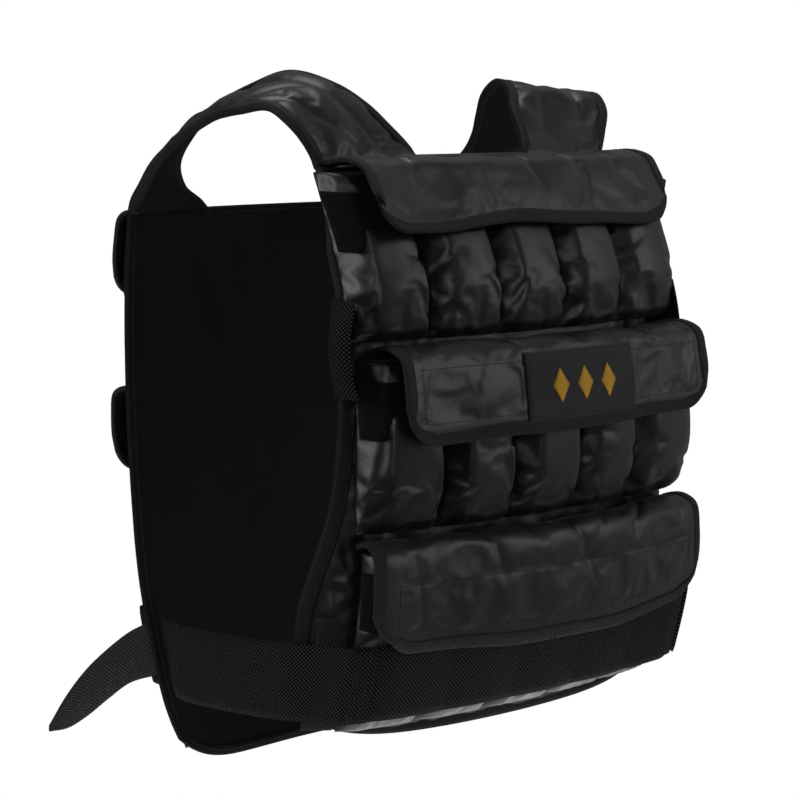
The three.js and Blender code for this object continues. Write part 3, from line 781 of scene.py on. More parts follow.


# Each finish gives its yarns' crown colour and hollow colour. The gap between them is painted highlight on
# the crowns and painted shade in the hollows, widest on the webbings and the binding.
NYLON = Finish(
    "satin_nylon", (0.0100, 0.0088, 0.0104), (0.0060, 0.0052, 0.0062), (0.26, 0.36), Weave.PLAIN, 0.55 * MM,
    0.03 * MM, 0.45 * MM, 34 * MM, 0.04, (0.85, 0.82, 1.0),
)
LINING = Finish(
    "brown_black_lining", (0.0120, 0.0092, 0.0084), (0.0070, 0.0055, 0.0050), (0.8, 0.9), Weave.PLAIN,
    0.5 * MM, 0.03 * MM, 0.8 * MM, 60 * MM, 0.03, (1.0, 0.9, 0.85), 0.1,
)
WEBBING = Finish(
    "belt_webbing", (0.0640, 0.0640, 0.0650), (0.0004, 0.0004, 0.0004), (0.55, 0.65),
    Weave.KNUCKLED, 2.3 * MM,
    0.6 * MM, 0.0, 20 * MM, 0.0, (1.0, 1.0, 1.0), 0.05,
)
TAIL_WEBBING = Finish(
    "tail_webbing", (0.0900, 0.0900, 0.0930), (0.0040, 0.0040, 0.0044), (0.5, 0.6),
    Weave.KNUCKLED, 1.9 * MM,
    0.6 * MM, 0.0, 20 * MM, 0.02, (1.0, 1.0, 1.0), 0.22,
)
BINDING = Finish(
    "ribbed_binding", (0.0600, 0.0590, 0.0580), (0.0020, 0.0020, 0.0020), (0.55, 0.65),
    Weave.KNUCKLED, 2.0 * MM,
    0.6 * MM, 0.0, 20 * MM, 0.02, (1.0, 1.0, 1.0), 0.22,
)
TRIM = Finish(
    "matte_trim", (0.0110, 0.0106, 0.0100), (0.0050, 0.0048, 0.0046), (0.5, 0.65), Weave.PLAIN, 0.6 * MM,
    0.05 * MM, 0.4 * MM, 18 * MM, 0.02, (1.0, 1.0, 1.0), 0.25,
)
DARK_TRIM = Finish(
    "dark_trim", (0.0090, 0.0074, 0.0066), (0.0040, 0.0034, 0.0030), (0.55, 0.7), Weave.PLAIN, 0.6 * MM,
    0.05 * MM, 0.4 * MM, 18 * MM, 0.02, (1.0, 0.9, 0.85), 0.2,
)
LOOP_TAPE = Finish(
    "loop_pile", (0.0060, 0.0060, 0.0062), (0.0015, 0.0015, 0.0015), (0.95, 1.0), Weave.PILE, 1.2 * MM,
    0.8 * MM, 0.0, 20 * MM, 0.02, (1.0, 1.0, 1.0), 0.15,
)
LABEL_CLOTH = Finish(
    "label_cloth", (0.0170, 0.0170, 0.0180), (0.0080, 0.0080, 0.0085), (0.7, 0.8), Weave.PLAIN, 0.7 * MM,
    0.08 * MM, 0.3 * MM, 30 * MM, 0.05,
)
BLACK_THREAD = Finish(
    "black_thread", (0.0200, 0.0200, 0.0210), (0.0080, 0.0080, 0.0080), (0.5, 0.6), Weave.PLAIN, 0.3 * MM,
    0.02 * MM,
)
GOLD_THREAD = Finish(
    "gold_thread", (0.90, 0.50, 0.030), (0.50, 0.24, 0.012), (0.38, 0.5), Weave.PLAIN, 0.3 * MM, 0.02 * MM,
)


class Wardrobe:
    """The finishes' materials, each made once."""

    def __init__(self) -> None:
        """Starts with no material made."""
        self.made: dict[str, bpy.types.Material] = {}

    def of(self, finish: Finish) -> bpy.types.Material:
        """The material of a finish."""
        if finish.name not in self.made:
            self.made[finish.name] = finish.material()
        return self.made[finish.name]


WARDROBE = Wardrobe()


def settle_piece(piece: bpy.types.Object, slot: str, *nodes: str) -> bpy.types.Object:
    """Hands a finished piece to the frame.

    Args:
        piece: the finished piece.
        slot: not used.
        nodes: nodes that it stands for.

    Returns:
        The same piece.
    """
    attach(piece, BODY)
    if nodes:
        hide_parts(*nodes)
    LOG.info("%s: %d faces", piece.name, len(piece.data.polygons))
    return piece


def bind_section(width: float, half: float, edge: float) -> np.ndarray:
    """Outline of a tape folded round an edge.

    Args:
        width: how far the tape reaches in from the edge.
        half: half of its whole thickness.
        edge: how far it stands past the edge.

    Returns:
        Pairs of distance inwards and height.
    """
    one = [
        (width, half * 0.8), (width * 0.94, half), (width * 0.6, half * 1.05), (width * 0.25, half * 1.02),
        (0.0, half * 0.92), (-edge * 0.7, half * 0.6),
    ]
    return np.array(one + [(-edge, 0.0)] + [(a, -b) for a, b in reversed(one)] + [(width, 0.0)])


class Seams:
    """Lines of stitches, gathered while the pieces are made and sewn in one go."""

    def __init__(self) -> None:
        """Starts with no line."""
        self.lines: dict[str, list[np.ndarray]] = {}

    def add(self, label: str, line: np.ndarray) -> None:
        """Adds a line of stitches to a group.

        Args:
            label: group's name.
            line: points of the line, on the cloth's face.
        """
        self.lines.setdefault(label, []).append(line)

    def tree(self, material: bpy.types.Material) -> bpy.types.NodeTree:
        """Builds the nodes that lay stitches along edges.

        Args:
            material: the thread's finish.

        Returns:
            The node tree, with the pitch, length and radius of a stitch as inputs.
        """
        tree = bpy.data.node_groups.new("stitches", "GeometryNodeTree")
        face = tree.interface
        face.new_socket("Geometry", in_out="INPUT", socket_type="NodeSocketGeometry")
        for label, value in (("Pitch", 3.4 * MM), ("Length", 2.5 * MM), ("Radius", 0.32 * MM)):
            socket = face.new_socket(label, in_out="INPUT", socket_type="NodeSocketFloat")
            socket.default_value = value
        face.new_socket("Geometry", in_out="OUTPUT", socket_type="NodeSocketGeometry")
        nodes, links = tree.nodes, tree.links
        start = nodes.new("NodeGroupInput")
        end = nodes.new("NodeGroupOutput")
        curve = nodes.new("GeometryNodeMeshToCurve")
        spaced = nodes.new("GeometryNodeResampleCurve")
        spaced.mode = "LENGTH"
        tangent = nodes.new("GeometryNodeInputTangent")
        turn = nodes.new("FunctionNodeAlignRotationToVector")
        turn.axis = "Z"
        stitch = nodes.new("GeometryNodeMeshUVSphere")
        stitch.inputs["Segments"].default_value = 5
        stitch.inputs["Rings"].default_value = 4
        stitch.inputs["Radius"].default_value = 1.0
        half = nodes.new("ShaderNodeMath")
        half.operation = "MULTIPLY"
        half.inputs[1].default_value = 0.5
        size = nodes.new("ShaderNodeCombineXYZ")
        lay = nodes.new("GeometryNodeInstanceOnPoints")
        real = nodes.new("GeometryNodeRealizeInstances")
        dress = nodes.new("GeometryNodeSetMaterial")
        dress.inputs["Material"].default_value = material
        links.new(start.outputs["Geometry"], curve.inputs["Mesh"])
        links.new(curve.outputs["Curve"], spaced.inputs["Curve"])
        links.new(start.outputs["Pitch"], spaced.inputs["Length"])
        links.new(tangent.outputs["Tangent"], turn.inputs["Vector"])
        links.new(start.outputs["Radius"], size.inputs["X"])
        links.new(start.outputs["Radius"], size.inputs["Y"])
        links.new(start.outputs["Length"], half.inputs[0])
        links.new(half.outputs["Value"], size.inputs["Z"])
        links.new(spaced.outputs["Curve"], lay.inputs["Points"])
        links.new(stitch.outputs["Mesh"], lay.inputs["Instance"])
        links.new(turn.outputs["Rotation"], lay.inputs["Rotation"])
        links.new(size.outputs["Vector"], lay.inputs["Scale"])
        links.new(lay.outputs["Instances"], real.inputs["Geometry"])
        links.new(real.outputs["Geometry"], dress.inputs["Geometry"])
        links.new(dress.outputs["Geometry"], end.inputs["Geometry"])
        return tree

    def sew(self) -> None:
        """Turns each group of lines into one mesh of stitches."""
        material = WARDROBE.of(BLACK_THREAD)
        tree = self.tree(material)
        for label, lines in self.lines.items():
            points, edges = [], []
            for line in lines:
                first = len(points)
                points.extend(line.tolist())
                edges.extend((first + k, first + k + 1) for k in range(len(line) - 1))
            mesh = bpy.data.meshes.new(label)
            mesh.from_pydata(points, edges, [])
            guide = bpy.data.objects.new("guide_" + label, mesh)
            bpy.context.scene.collection.objects.link(guide)
            modifier = guide.modifiers.new("stitches", "NODES")
            modifier.node_group = tree
            made = guide.evaluated_get(bpy.context.evaluated_depsgraph_get())
            sewn = bpy.data.meshes.new_from_object(made)
            sewn.name = label
            sewn.polygons.foreach_set("use_smooth", np.full(len(sewn.polygons), True))
            bpy.data.objects.remove(guide)
            piece = bpy.data.objects.new(label, sewn)
            bpy.context.scene.collection.objects.link(piece)
            settle_piece(piece, "nylon")


SEAMS = Seams()


@dataclass
class PanelMaker:
    """A padded panel: nylon outside, lining inside, and a tape folded round its edge."""

    panel: Panel
    columns: int = 84
    rows: int = 90
    edge_half: float = 3.4 * MM

    def shares(self) -> tuple[np.ndarray, np.ndarray]:
        """Shares across and up for each point of the panel's grids, closer together towards the sides."""
        even = np.linspace(-1, 1, self.columns + 1)
        return np.meshgrid(np.sign(even) * (1 - (1 - np.abs(even)) ** 1.5), np.linspace(0, 1, self.rows + 1))

    def edge_distance(self, across: np.ndarray, up: np.ndarray) -> np.ndarray:
        """Distance of points from the panel's edge."""
        side = (1 - np.abs(across)) * PANEL_HALF_WIDTH * 0.95
        return np.minimum(side, np.minimum(up, 1 - up) * self.panel.height)

    def grids(self) -> tuple[np.ndarray, np.ndarray]:
        """Outer and inner grids, thinner towards the edge."""
        across, up = self.shares()
        near = self.edge_distance(across, up)
        neck = self.panel.neck_half / float(self.panel.half_width(self.panel.top))
        rooted = (up > 0.9) & (np.abs(across) > neck)
        side = (1 - np.abs(across)) * PANEL_HALF_WIDTH * 0.95
        close = np.where(rooted, side, near)
        thin = (PANEL_THICK / 2 - self.edge_half + 1 * MM) * (1 - ease(close / (14 * MM)))
        outer = self.panel.at(across, up, -thin)
        inner = self.panel.at(across, up, -PANEL_THICK + thin)
        waves = ripple(outer, 55 * MM, 1.0 + self.panel.facing) * 1.2 * MM * ease(near / (30 * MM))
        inner = inner + waves[..., None] * np.array([0, self.panel.facing, 0])
        return outer, inner

    def crumpled(self, outer: np.ndarray) -> np.ndarray:
        """The outer cloth with its slack gathered on the parts that no pocket covers."""
        if self.panel.facing > 0:
            return outer
        across, up = self.shares()
        near = self.edge_distance(across, up)
        covered = (np.abs(outer[..., 0]) < WING_START) & (up < 0.97)
        ridges = 0.4 - np.abs(ripple(outer, 17 * MM, 6.0, (1, 1, 1.8))) * 2
        seeds = ripple(outer, 20 * MM, 3.0) * 1.2 * MM + ridges * 1.6 * MM
        seeds = seeds * ease(near / (12 * MM))
        start = outer + seeds[..., None] * np.array([0, self.panel.facing, 0])
        recipe = Relaxing(frames=14, pressure=1.0, extra=0.06, bending=0.02, cap=5 * MM)
        turned = start[:, ::-1] if self.panel.facing > 0 else start
        held = covered | (near < 12 * MM)
        return relax([turned], [held], recipe)[0]

    def edges(self) -> list[tuple[list[tuple[float, float]], Finish, float]]:
        """Bound edges: their paths as shares across and up, their finish and the tape's width."""
        over = [(float(a), 0.0) for a in np.linspace(-1.0, 1.0, 70)]
        if self.panel.facing > 0:
            neck = self.panel.neck_half / float(self.panel.half_width(self.panel.top)) * 0.99
            side = np.linspace(0.0, 1.0, 70)
            sides = [(-1.0, v) for v in side[:0:-1]] + over[:-1] + [(1.0, v) for v in side]
            collar = [(a, 1.0) for a in np.linspace(-neck, neck, 40)]
            return [(sides, LINING, 6 * MM), (collar, LINING, 6 * MM)]
        split = (TAB_TOP - TAB_HEIGHT / 2 - self.panel.top) / self.panel.height + 1
        high, low = np.linspace(split, 1.0, 30), np.linspace(0.0, split, 50)
        sides = [(-1.0, v) for v in low[:0:-1]] + over[:-1] + [(1.0, v) for v in low]
        return [
            (sides, DARK_TRIM, 12 * MM),
            ([(-1.0, v) for v in high], BINDING, 16 * MM),
            ([(1.0, v) for v in high], BINDING, 16 * MM),
        ]

    def bind(self, path: list[tuple[float, float]], finish: Finish, width: float, number: int) -> None:
        """Folds a tape round one edge and stitches it.

        Args:
            path: the edge's path, as shares across and up.
            finish: the tape's finish.
            width: how far the tape reaches in.
            number: number of the edge.
        """
        label = self.panel.label
        way = np.array(path)
        middle = self.panel.at(way[:, 0], way[:, 1], -PANEL_THICK / 2)
        normal = unit(self.panel.at(way[:, 0], way[:, 1], PANEL_THICK / 2) - middle)
        along = unit(np.gradient(middle, axis=0))
        inward = unit(np.cross(normal, along))
        centre = self.panel.at(way[:, 0] * 0.85, 0.06 + way[:, 1] * 0.88, -PANEL_THICK / 2)
        inward[np.einsum("ij,ij->i", inward, centre - middle) < 0] *= -1
        section = bind_section(width, self.edge_half, 0.8 * MM)
        wave = 1 + 0.10 * ripple(middle[:, None], 30 * MM, 4.0 + number)
        name = f"edge_{label}_panel_{number}"
        tape = sweep(name, middle, inward, normal * wave, section, WARDROBE.of(finish))
        settle_piece(tape, "webbing" if finish is BINDING else "nylon")
        inside = middle + inward * (width - 2 * MM)
        for side in (1, -1):
            SEAMS.add("stitches_panels", inside + side * normal * (self.edge_half * 1.05))

    def build(self) -> None:
        """Makes the panel and its edge tapes."""
        label = self.panel.label
        outer, inner = self.grids()
        outer = self.crumpled(outer)
        levels = 1 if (self.panel.facing < 0) else 0
        piece = shell(f"cloth_{label}_panel", outer, inner, [WARDROBE.of(NYLON), WARDROBE.of(LINING)], levels)
        settle_piece(piece, "nylon", f"{label}_panel")
        for number, (path, finish, width) in enumerate(self.edges(), 1):
            self.bind(path, finish, width, number)


@dataclass(frozen=True)
class Strap:
    """A shoulder strap's own shares of rise and swing."""

    label: str
    hand: int
    neck_rise: float
    arm_rise: float
    swing: float
    droop: float


RIGHT_STRAP = Strap("right", -1, 1.00, 1.00, 0.98, 0.00)
LEFT_STRAP = Strap("left", 1, 0.92, 1.16, 1.12, 0.55)


@dataclass
class StrapMaker:
    """A padded shoulder strap, seamed along its two edges."""

    strap: Strap
    folds: tuple[tuple[float, ...], ...]
    columns: int = 26
    rows: int = 84
    width: float = 95 * MM
    length: float = 330 * MM
    edge_width: float = 8 * MM
    edge_half: float = 3.4 * MM

    def edge(self, side: str, to: np.ndarray) -> np.ndarray:
        """Points along the neck or arm edge."""
        neck = side == "neck"
        ends = []
        for panel in (FRONT, BACK):
            share = panel.neck_half / float(panel.half_width(panel.top)) if neck else 1.0
            ends.append(panel.at(share, 1.0, -PANEL_THICK / 2))
        way = STRAP_STATIONS.at(side, to)[..., None]
        points = ends[0] + (ends[1] - ends[0]) * way
        rise = self.strap.neck_rise if neck else self.strap.arm_rise
        hang = 0.0 if neck else self.strap.droop * STRAP_STATIONS.at("droop", to)
        points[..., 2] += GAP + STRAP_RISE * rise * STRAP_STATIONS.at(side + "Rise", to) * (1 - hang)
        points[..., 0] += STRAP_SWING * self.strap.swing * STRAP_STATIONS.at(side + "Out", to)
        points[..., 0] *= self.strap.hand
        return points

    def middle(self, across: np.ndarray, to: np.ndarray) -> np.ndarray:
        """Points of the strap's middle surface."""
        neck, arm = self.edge("neck", to), self.edge("arm", to)
        straight = neck + (arm - neck) * across[..., None]
        for panel, weight in ((FRONT, 1 - ease(to / 0.09)), (BACK, ease((to - 0.93) / 0.07))):
            top_half = float(panel.half_width(panel.top))
            neck_share = panel.neck_half / top_half
            share = self.strap.hand * (neck_share + (1 - neck_share) * across)
            seat = panel.at(share, 1.0, -PANEL_THICK / 2)
            ends = [panel.at(self.strap.hand * s, 1.0, -PANEL_THICK / 2) for s in (neck_share, 1.0)]
            level = ends[0] + (ends[1] - ends[0]) * across[..., None]
            straight = straight + (seat - level) * weight[..., None]
        root = np.maximum(1 - ease(to / 0.03), ease((to - 0.97) / 0.03))
        straight[..., 2] -= STRAP_TUCK * root
        return straight

    def grids(self) -> tuple[np.ndarray, np.ndarray]:
        """Outer and inner grids."""
        across, to = np.meshgrid(np.linspace(0, 1, self.columns + 1), np.linspace(0, 1, self.rows + 1))
        middle = self.middle(across, to)
        normal = grid_normals(middle) * -self.strap.hand
        if normal[self.rows // 2, self.columns // 2, 2] < 0:
            normal = -normal
        for panel, weight in ((FRONT, 1 - ease(to / 0.09)), (BACK, ease((to - 0.93) / 0.07))):
            top_half = float(panel.half_width(panel.top))
            neck_share = panel.neck_half / top_half
            share = self.strap.hand * (neck_share + (1 - neck_share) * across)
            face = unit(panel.at(share, 1.0, PANEL_THICK) - panel.at(share, 1.0, 0.0))
            normal = unit(normal * (1 - weight[..., None]) + face * weight[..., None])
        pad = 0.30 + 0.72 * np.sin(math.pi * across) ** 0.8
        root = np.maximum(1 - ease(to / 0.06), ease((to - 0.94) / 0.06))
        pad = pad + (0.97 - pad) * root
        thick = PANEL_THICK + (STRAP_THICK - PANEL_THICK) * np.sin(math.pi * to)
        half = (thick * pad / 2)[..., None]
        lift = dart(across * self.width, to * self.length, self.folds)[..., None]
        return middle + normal * (half - lift), middle - normal * half

    def build(self) -> None:
        """Makes the strap and its edge seams."""
        outer, inner = self.grids()
        across, to = np.meshgrid(np.linspace(0, 1, self.columns + 1), np.linspace(0, 1, self.rows + 1))
        middle = self.middle(across, to)
        inside = (across > 0.07) & (across < 0.93) & (to > 0.02) & (to < 0.98)
        seeds = ripple(outer, 34 * MM, 5.0 + self.strap.hand, (1, 1, 1)) * 1.3 * MM
        normal = unit(outer - inner)
        start = outer + normal * (seeds * inside)[..., None]
        flip = float((grid_normals(start) * normal).sum()) < 0
        turned = start[:, ::-1] if flip else start
        held = ~inside[:, ::-1] if flip else ~inside
        recipe = Relaxing(frames=14, pressure=0.8, extra=0.035, bending=0.03, cap=4 * MM)
        settled = relax([turned], [held], recipe)[0]
        outer = settled[:, ::-1] if flip else settled
        levels = 1
        name = f"cloth_shoulder_strap_{self.strap.label}"
        piece = shell(name, outer, inner, [WARDROBE.of(NYLON), WARDROBE.of(LINING)], levels)
        settle_piece(piece, "nylon", f"shoulder_strap_{self.strap.label}")
        for number, column in enumerate((0, -1), 1):
            path = (outer[:, column] + inner[:, column]) / 2
            inward = unit(middle[:, 3 if column == 0 else -4] - middle[:, column])
            section = bind_section(self.edge_width, self.edge_half, 0.8 * MM)
            name = f"edge_strap_{self.strap.label}_{number}"
            face = normal[:, column]
            face = unit(face - inward * np.einsum("ij,ij->i", face, inward)[:, None])
            finish = DARK_TRIM if column == 0 else TRIM
            settle_piece(sweep(name, path, inward, face, section, WARDROBE.of(finish)), "nylon")
            line = path + inward * (self.edge_width - 1.6 * MM) + face * (self.edge_half * 1.02)
            SEAMS.add("stitches_straps", line)


@dataclass
class PocketBlock:
    """The filled pockets of one panel: cloth swollen over its filling, puckered at the seams."""

    panel: Panel
    columns: int = 24
    rows: int = 40

    def depth(self, across: np.ndarray, up: np.ndarray) -> np.ndarray:
        """Depth at shares of a pocket's width and height."""
        flanks = np.minimum(ease(across / POCKET_FLANKS[0]), ease((1 - across) / POCKET_FLANKS[1]))
        round_front = POCKET_SIDE + (1 - POCKET_SIDE) * flanks**0.8
        return POCKET_DEPTH * POCKET_PROFILE.at("depth", up) * round_front

    def pocket(self, row: int, column: int) -> tuple[np.ndarray, np.ndarray]:
        """Outer and inner grids of a pocket."""
        u, v = np.meshgrid(np.linspace(0, 1, self.columns + 1), np.linspace(0, 1, self.rows + 1))
        across = 0.5 - 0.5 * np.cos(math.pi * u)
        across = 0.55 * across + 0.45 * u
        parted = (POCKET_MOUTH_SPLIT - POCKET_SPLIT) * np.clip((v - 0.2) / 0.8, 0, 1)
        wide = POCKET_PITCH - POCKET_SPLIT - parted
        x = (column - (POCKET_COLUMNS - 1) / 2) * POCKET_PITCH + (across - 0.5) * wide
        if self.panel.facing < 0 and column == POCKET_COLUMNS - 1:
            x = x + across * END_POCKET_REACH[row]
        height = POCKET_HEIGHT * self.panel.rows[row].tall
        z = self.panel.row_foot(row) + height * v
        edge = np.minimum(np.minimum(u, 1 - u) * self.columns / 3.5, 1)
        low = np.minimum(v * self.rows / 3.0, 1)
        swell = ease(edge) ** 0.5 * (0.62 + 0.38 * ease(low) ** 0.6)
        deep = self.depth(across, v) * (0.12 + 0.88 * swell) * 0.97 * self.panel.flatter(x)
        outer = self.panel.off(x, z, POCKET_SEAT + deep)
        inner = self.panel.off(x, z, POCKET_SEAT)
        return outer, inner

    def creases(self, seed: int) -> np.ndarray:
        """Folds of one pocket: puckers at its foot and mouth, and slanting folds down its sides.

        Args:
            seed: number that chooses the folds.

        Returns:
            Depth of the folds at each point.
        """
        chance = np.random.default_rng(seed)
        u, v = np.meshgrid(np.linspace(0, 1, self.columns + 1), np.linspace(0, 1, self.rows + 1))
        x, y = (u - 0.5) * POCKET_PITCH, v * POCKET_HEIGHT
        half, tall = POCKET_PITCH / 2, POCKET_HEIGHT
        folds = []
        for hand in (-1, 1):
            for _ in range(4 if hand < 0 else 2):
                low = chance.uniform(0.12, 0.75) * tall
                reach = chance.uniform(0.2, 0.55) * half
                rise = chance.uniform(-0.05, 0.22) * tall
                deep = chance.uniform(1.2, 3.0) * MM
                folds.append((hand * half * 0.97, low, hand * (half - reach), low + rise, deep, 2.4 * MM))
            corner = chance.uniform(0.15, 0.4)
            near, far = hand * half * 0.9, hand * half * 0.35
            folds.append((near, 0.03 * tall, far, corner * tall, 2.2 * MM, 3.4 * MM))
        for lean in (0.0, 0.22):
            top, foot = chance.uniform(-0.62, -0.5) - lean, chance.uniform(-0.9, -0.75)
            middle = chance.uniform(0.45, 0.62)
            bend = (top + foot) / 2 * half + chance.uniform(-0.12, 0.12) * half
            deep = chance.uniform(1.8, 3.0) * MM
            folds.append((top * half, 0.97 * tall, bend, middle * tall, deep, 1.9 * MM))
            folds.append((bend, middle * tall, foot * half, 0.1 * tall, deep, 1.9 * MM))
        for _ in range(3):
            at = chance.uniform(-0.8, 0.8) * half
            long = chance.uniform(0.14, 0.3) * tall
            folds.append((at, 0.0, at + chance.uniform(-0.3, 0.3) * half, long, 1.6 * MM, 2.6 * MM))
        return dart(x, y, folds)

    def limit(self, row: int, z: np.ndarray) -> np.ndarray:
        """How far off the panel a pocket may stand: behind the belt, and behind the loop tape."""
        face = POCKET_SEAT + POCKET_DEPTH
        free = np.full(z.shape, face + 5 * MM)
        bands = []
        tape = self.panel.row_foot(row) + POCKET_HEIGHT * self.panel.rows[row].tall - TAPE_DROP
        bands.append((tape - TAPE_SHOWN, tape, GAP / 2))
        if row == 2:
            middle = BELT_LEVEL + BELT_PITCH_DOWN * FRONT.reach
            bands.append((middle - BELT_WIDTH / 2, middle + BELT_WIDTH / 2, BELT_SEAT - 0.2 * MM))
        for low, high, seat in bands:
            past = np.maximum(0, np.maximum(low - z, z - high))
            free = np.minimum(free, face + seat + past * 0.7)
        return free

    def build(self) -> None:
        """Makes the pockets."""
        outers, inners, held, names, rows = [], [], [], [], []
        for row in range(len(self.panel.rows)):
            for column in range(POCKET_COLUMNS):
                outer, inner = self.pocket(row, column)
                seed = row * 5.3 + column * 1.7 + self.panel.facing
                face = np.array([0, self.panel.facing, 0])
                number = 100 * (2 + self.panel.facing) + 10 * row + column
                lift = ripple(outer, 30 * MM, seed) * 0.6 * MM - self.creases(number)
                outer = outer + lift[..., None] * face
                pin = np.zeros(outer.shape[:2], bool)
                pin[0] = pin[-1] = pin[:, 0] = pin[:, -1] = True
                if self.panel.facing > 0:
                    outer, inner = outer[:, ::-1], inner[:, ::-1]
                outers.append(outer)
                inners.append(inner)
                held.append(pin)
                rows.append(row)
                names.append(f"pocket_{self.panel.label}_r{row + 1}_c{column + 1}")
        recipe = Relaxing(frames=13, pressure=0.9, extra=0.03, bending=0.01, cap=3 * MM)
        settled = relax(outers, held, recipe)
        levels = 1 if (self.panel.facing < 0) else 0
        for name, row, outer, inner in zip(names, rows, settled, inners):
            outer = self.panel.pressed(outer, self.limit(row, outer[..., 2]))
            piece = shell("cloth_" + name, outer, inner, [WARDROBE.of(NYLON)], levels)
            settle_piece(piece, "nylon", name)


@dataclass
class FlapMaker:
    """One flap: a stiffened cloth carried over its row, its free edges folded into a tape."""

    panel: Panel
    row: int
    folds: tuple[tuple[float, ...], ...] = ()
    boxes: tuple[tuple[float, float, float, float], ...] = ()
    labelled: bool = False
    sags: Table | None = None
    columns: int = 132
    rows: int = 44
    tape_width: float = 11 * MM

    @property
    def name(self) -> str:
        """Name of the flap's node."""
        return f"flap_{self.panel.label}_{self.row + 1}"

    def section(self, x: np.ndarray, share: np.ndarray) -> tuple[np.ndarray, np.ndarray]:
        """Distance off the panel and height, at places across and shares of the run."""
        line = self.panel.rows[self.row]
        half = BLOCK_HALF * np.where(x < 0, line.right_end, line.left_end)
        inset = np.maximum(0, np.abs(x) - (half - FLAP_CORNER))
        corner = FLAP_CORNER - np.sqrt(np.maximum(0, FLAP_CORNER**2 - inset**2))
        crown = self.panel.row_foot(self.row) + POCKET_HEIGHT * line.tall + FLAP_RISE
        towards = np.maximum(0, 2 * np.abs(x) / half - 1)
        flare = FLAP_FLARE * np.where(x < 0, line.right_flare, line.left_flare) * towards**2
        out = FLAP_PROFILE.at("out", share)
        down = FLAP_PROFILE.at("down", share)
        low = np.maximum(0, down) ** 2
        hang = 0.8 * MM * np.sin(x / (19 * MM) + 2 * self.row)
        if self.sags is not None:
            hang = hang + self.sags.at("down", x / half) * MM
        z = crown - FLAP_LENGTH * line.lip * down + (corner - hang) * low
        return (FLAP_STANDOFF * line.standoff + flare) * out, z

    def at(self, x: np.ndarray, run: np.ndarray, lift: np.ndarray | float) -> np.ndarray:
        """Points on the flap, at a lift off its outer face."""
        x, run, lift = np.broadcast_arrays(np.asarray(x, float), run, lift)
        away, z = self.section(x, run)
        off_a, z_a = self.section(x, np.maximum(0, run - 0.01))
        off_b, z_b = self.section(x, np.minimum(1, run + 0.01))
        long = np.hypot(off_b - off_a, z_b - z_a)
        return self.panel.off(x, z + lift * (off_b - off_a) / long, away + lift * (z_a - z_b) / long)

    def ends(self) -> tuple[float, float]:
        """Places of the flap's two ends."""
        line = self.panel.rows[self.row]
        return -BLOCK_HALF * line.right_end, BLOCK_HALF * line.left_end

    def grid(self) -> tuple[np.ndarray, np.ndarray]:
        """Places across and shares of the run, for each point of the flap's grid."""
        first, last = self.ends()
        return np.meshgrid(np.linspace(first, last, self.columns + 1), np.linspace(0, 1, self.rows + 1))

    def build(self) -> None:
        """Makes the flap, its edge tape and its stitches."""
        x, run = self.grid()
        first, last = self.ends()
        run_length = length_of(self.at(np.zeros(40), np.linspace(0, 1, 40), 0.0))
        side = np.minimum(x - first, last - x)
        foot = (1 - run) * run_length
        near = np.minimum(side, foot)
        lift = -dart(x / BLOCK_HALF, run, self.folds)
        outer = self.at(x, run, lift)
        held = (near < self.tape_width + 0.5 * MM) | (run < 0.06)
        if self.labelled:
            under = np.abs(x - LABEL_ACROSS) < LABEL_WIDTH / 2 + 2 * MM
            held |= under & (run > LABEL_RUN[0] - 0.03) & (run < LABEL_RUN[1] + 0.02)
        for x0, x1, run0, run1 in self.boxes:
            rim = np.minimum(np.abs(x / BLOCK_HALF - x0), np.abs(x / BLOCK_HALF - x1)) * BLOCK_HALF < 1.4 * MM
            inside = (x / BLOCK_HALF > x0 - 0.01) & (x / BLOCK_HALF < x1 + 0.01)
            rung = np.minimum(np.abs(run - run0), np.abs(run - run1)) * run_length < 1.3 * MM
            span = (run > run0 - 0.01) & (run < run1 + 0.01)
            held |= (rim & span) | (rung & inside)
        normal = grid_normals(outer)
        facing = np.sign((normal * (outer - self.at(x, run, -FLAP_THICK))).sum())
        seeds = ripple(outer, 34 * MM, self.row * 3.1 + self.panel.facing) * 1.1 * MM
        seeds += ripple(outer, 20 * MM, self.row * 4.7 + self.panel.facing, (1.5, 1, 0.8)) * 0.5 * MM
        seeds = np.where(held, -0.5 * MM * (near > self.tape_width), seeds)
        rise = ease((near - self.tape_width) / (7 * MM))
        start = outer + (normal * facing) * (seeds * rise)[..., None]
        recipe = Relaxing(frames=12, pressure=0.4, extra=0.010, bending=0.25, cap=3 * MM)
        flip = facing < 0
        turned = relax([start[:, ::-1] if flip else start], [held[:, ::-1] if flip else held], recipe)[0]
        outer = turned[:, ::-1] if flip else turned
        inner = outer - (grid_normals(outer) * facing) * FLAP_THICK
        piece = shell("cloth_" + self.name, outer, inner, [WARDROBE.of(NYLON)])
        settle_piece(piece, "nylon", self.name)
        self.bind(run_length)
        for x0, x1, run0, run1 in self.boxes:
            loop = [(x0, run0), (x1, run0), (x1, run1), (x0, run1), (x0, run0)]
            for (ax, ar), (bx, br) in zip(loop, loop[1:]):
                share = np.linspace(0, 1, 60)
                line = self.at((ax + (bx - ax) * share) * BLOCK_HALF, ar + (br - ar) * share, 0.1 * MM)
                SEAMS.add(f"stitches_flaps_{self.panel.label}", line)

    def edge_path(self, inset: float, run_length: float, lift: float) -> np.ndarray:
        """Points along the flap's free edges, at an inset from them."""
        first, last = self.ends()
        low = 1 - inset / run_length
        down = np.linspace(0.04, low, 36)
        over = np.linspace(first + inset, last - inset, 130)
        x = np.concatenate([np.full(35, first + inset), over, np.full(35, last - inset)])
        run = np.concatenate([down[:-1], np.full(130, low), down[-2::-1]])
        return self.at(x, run, lift)

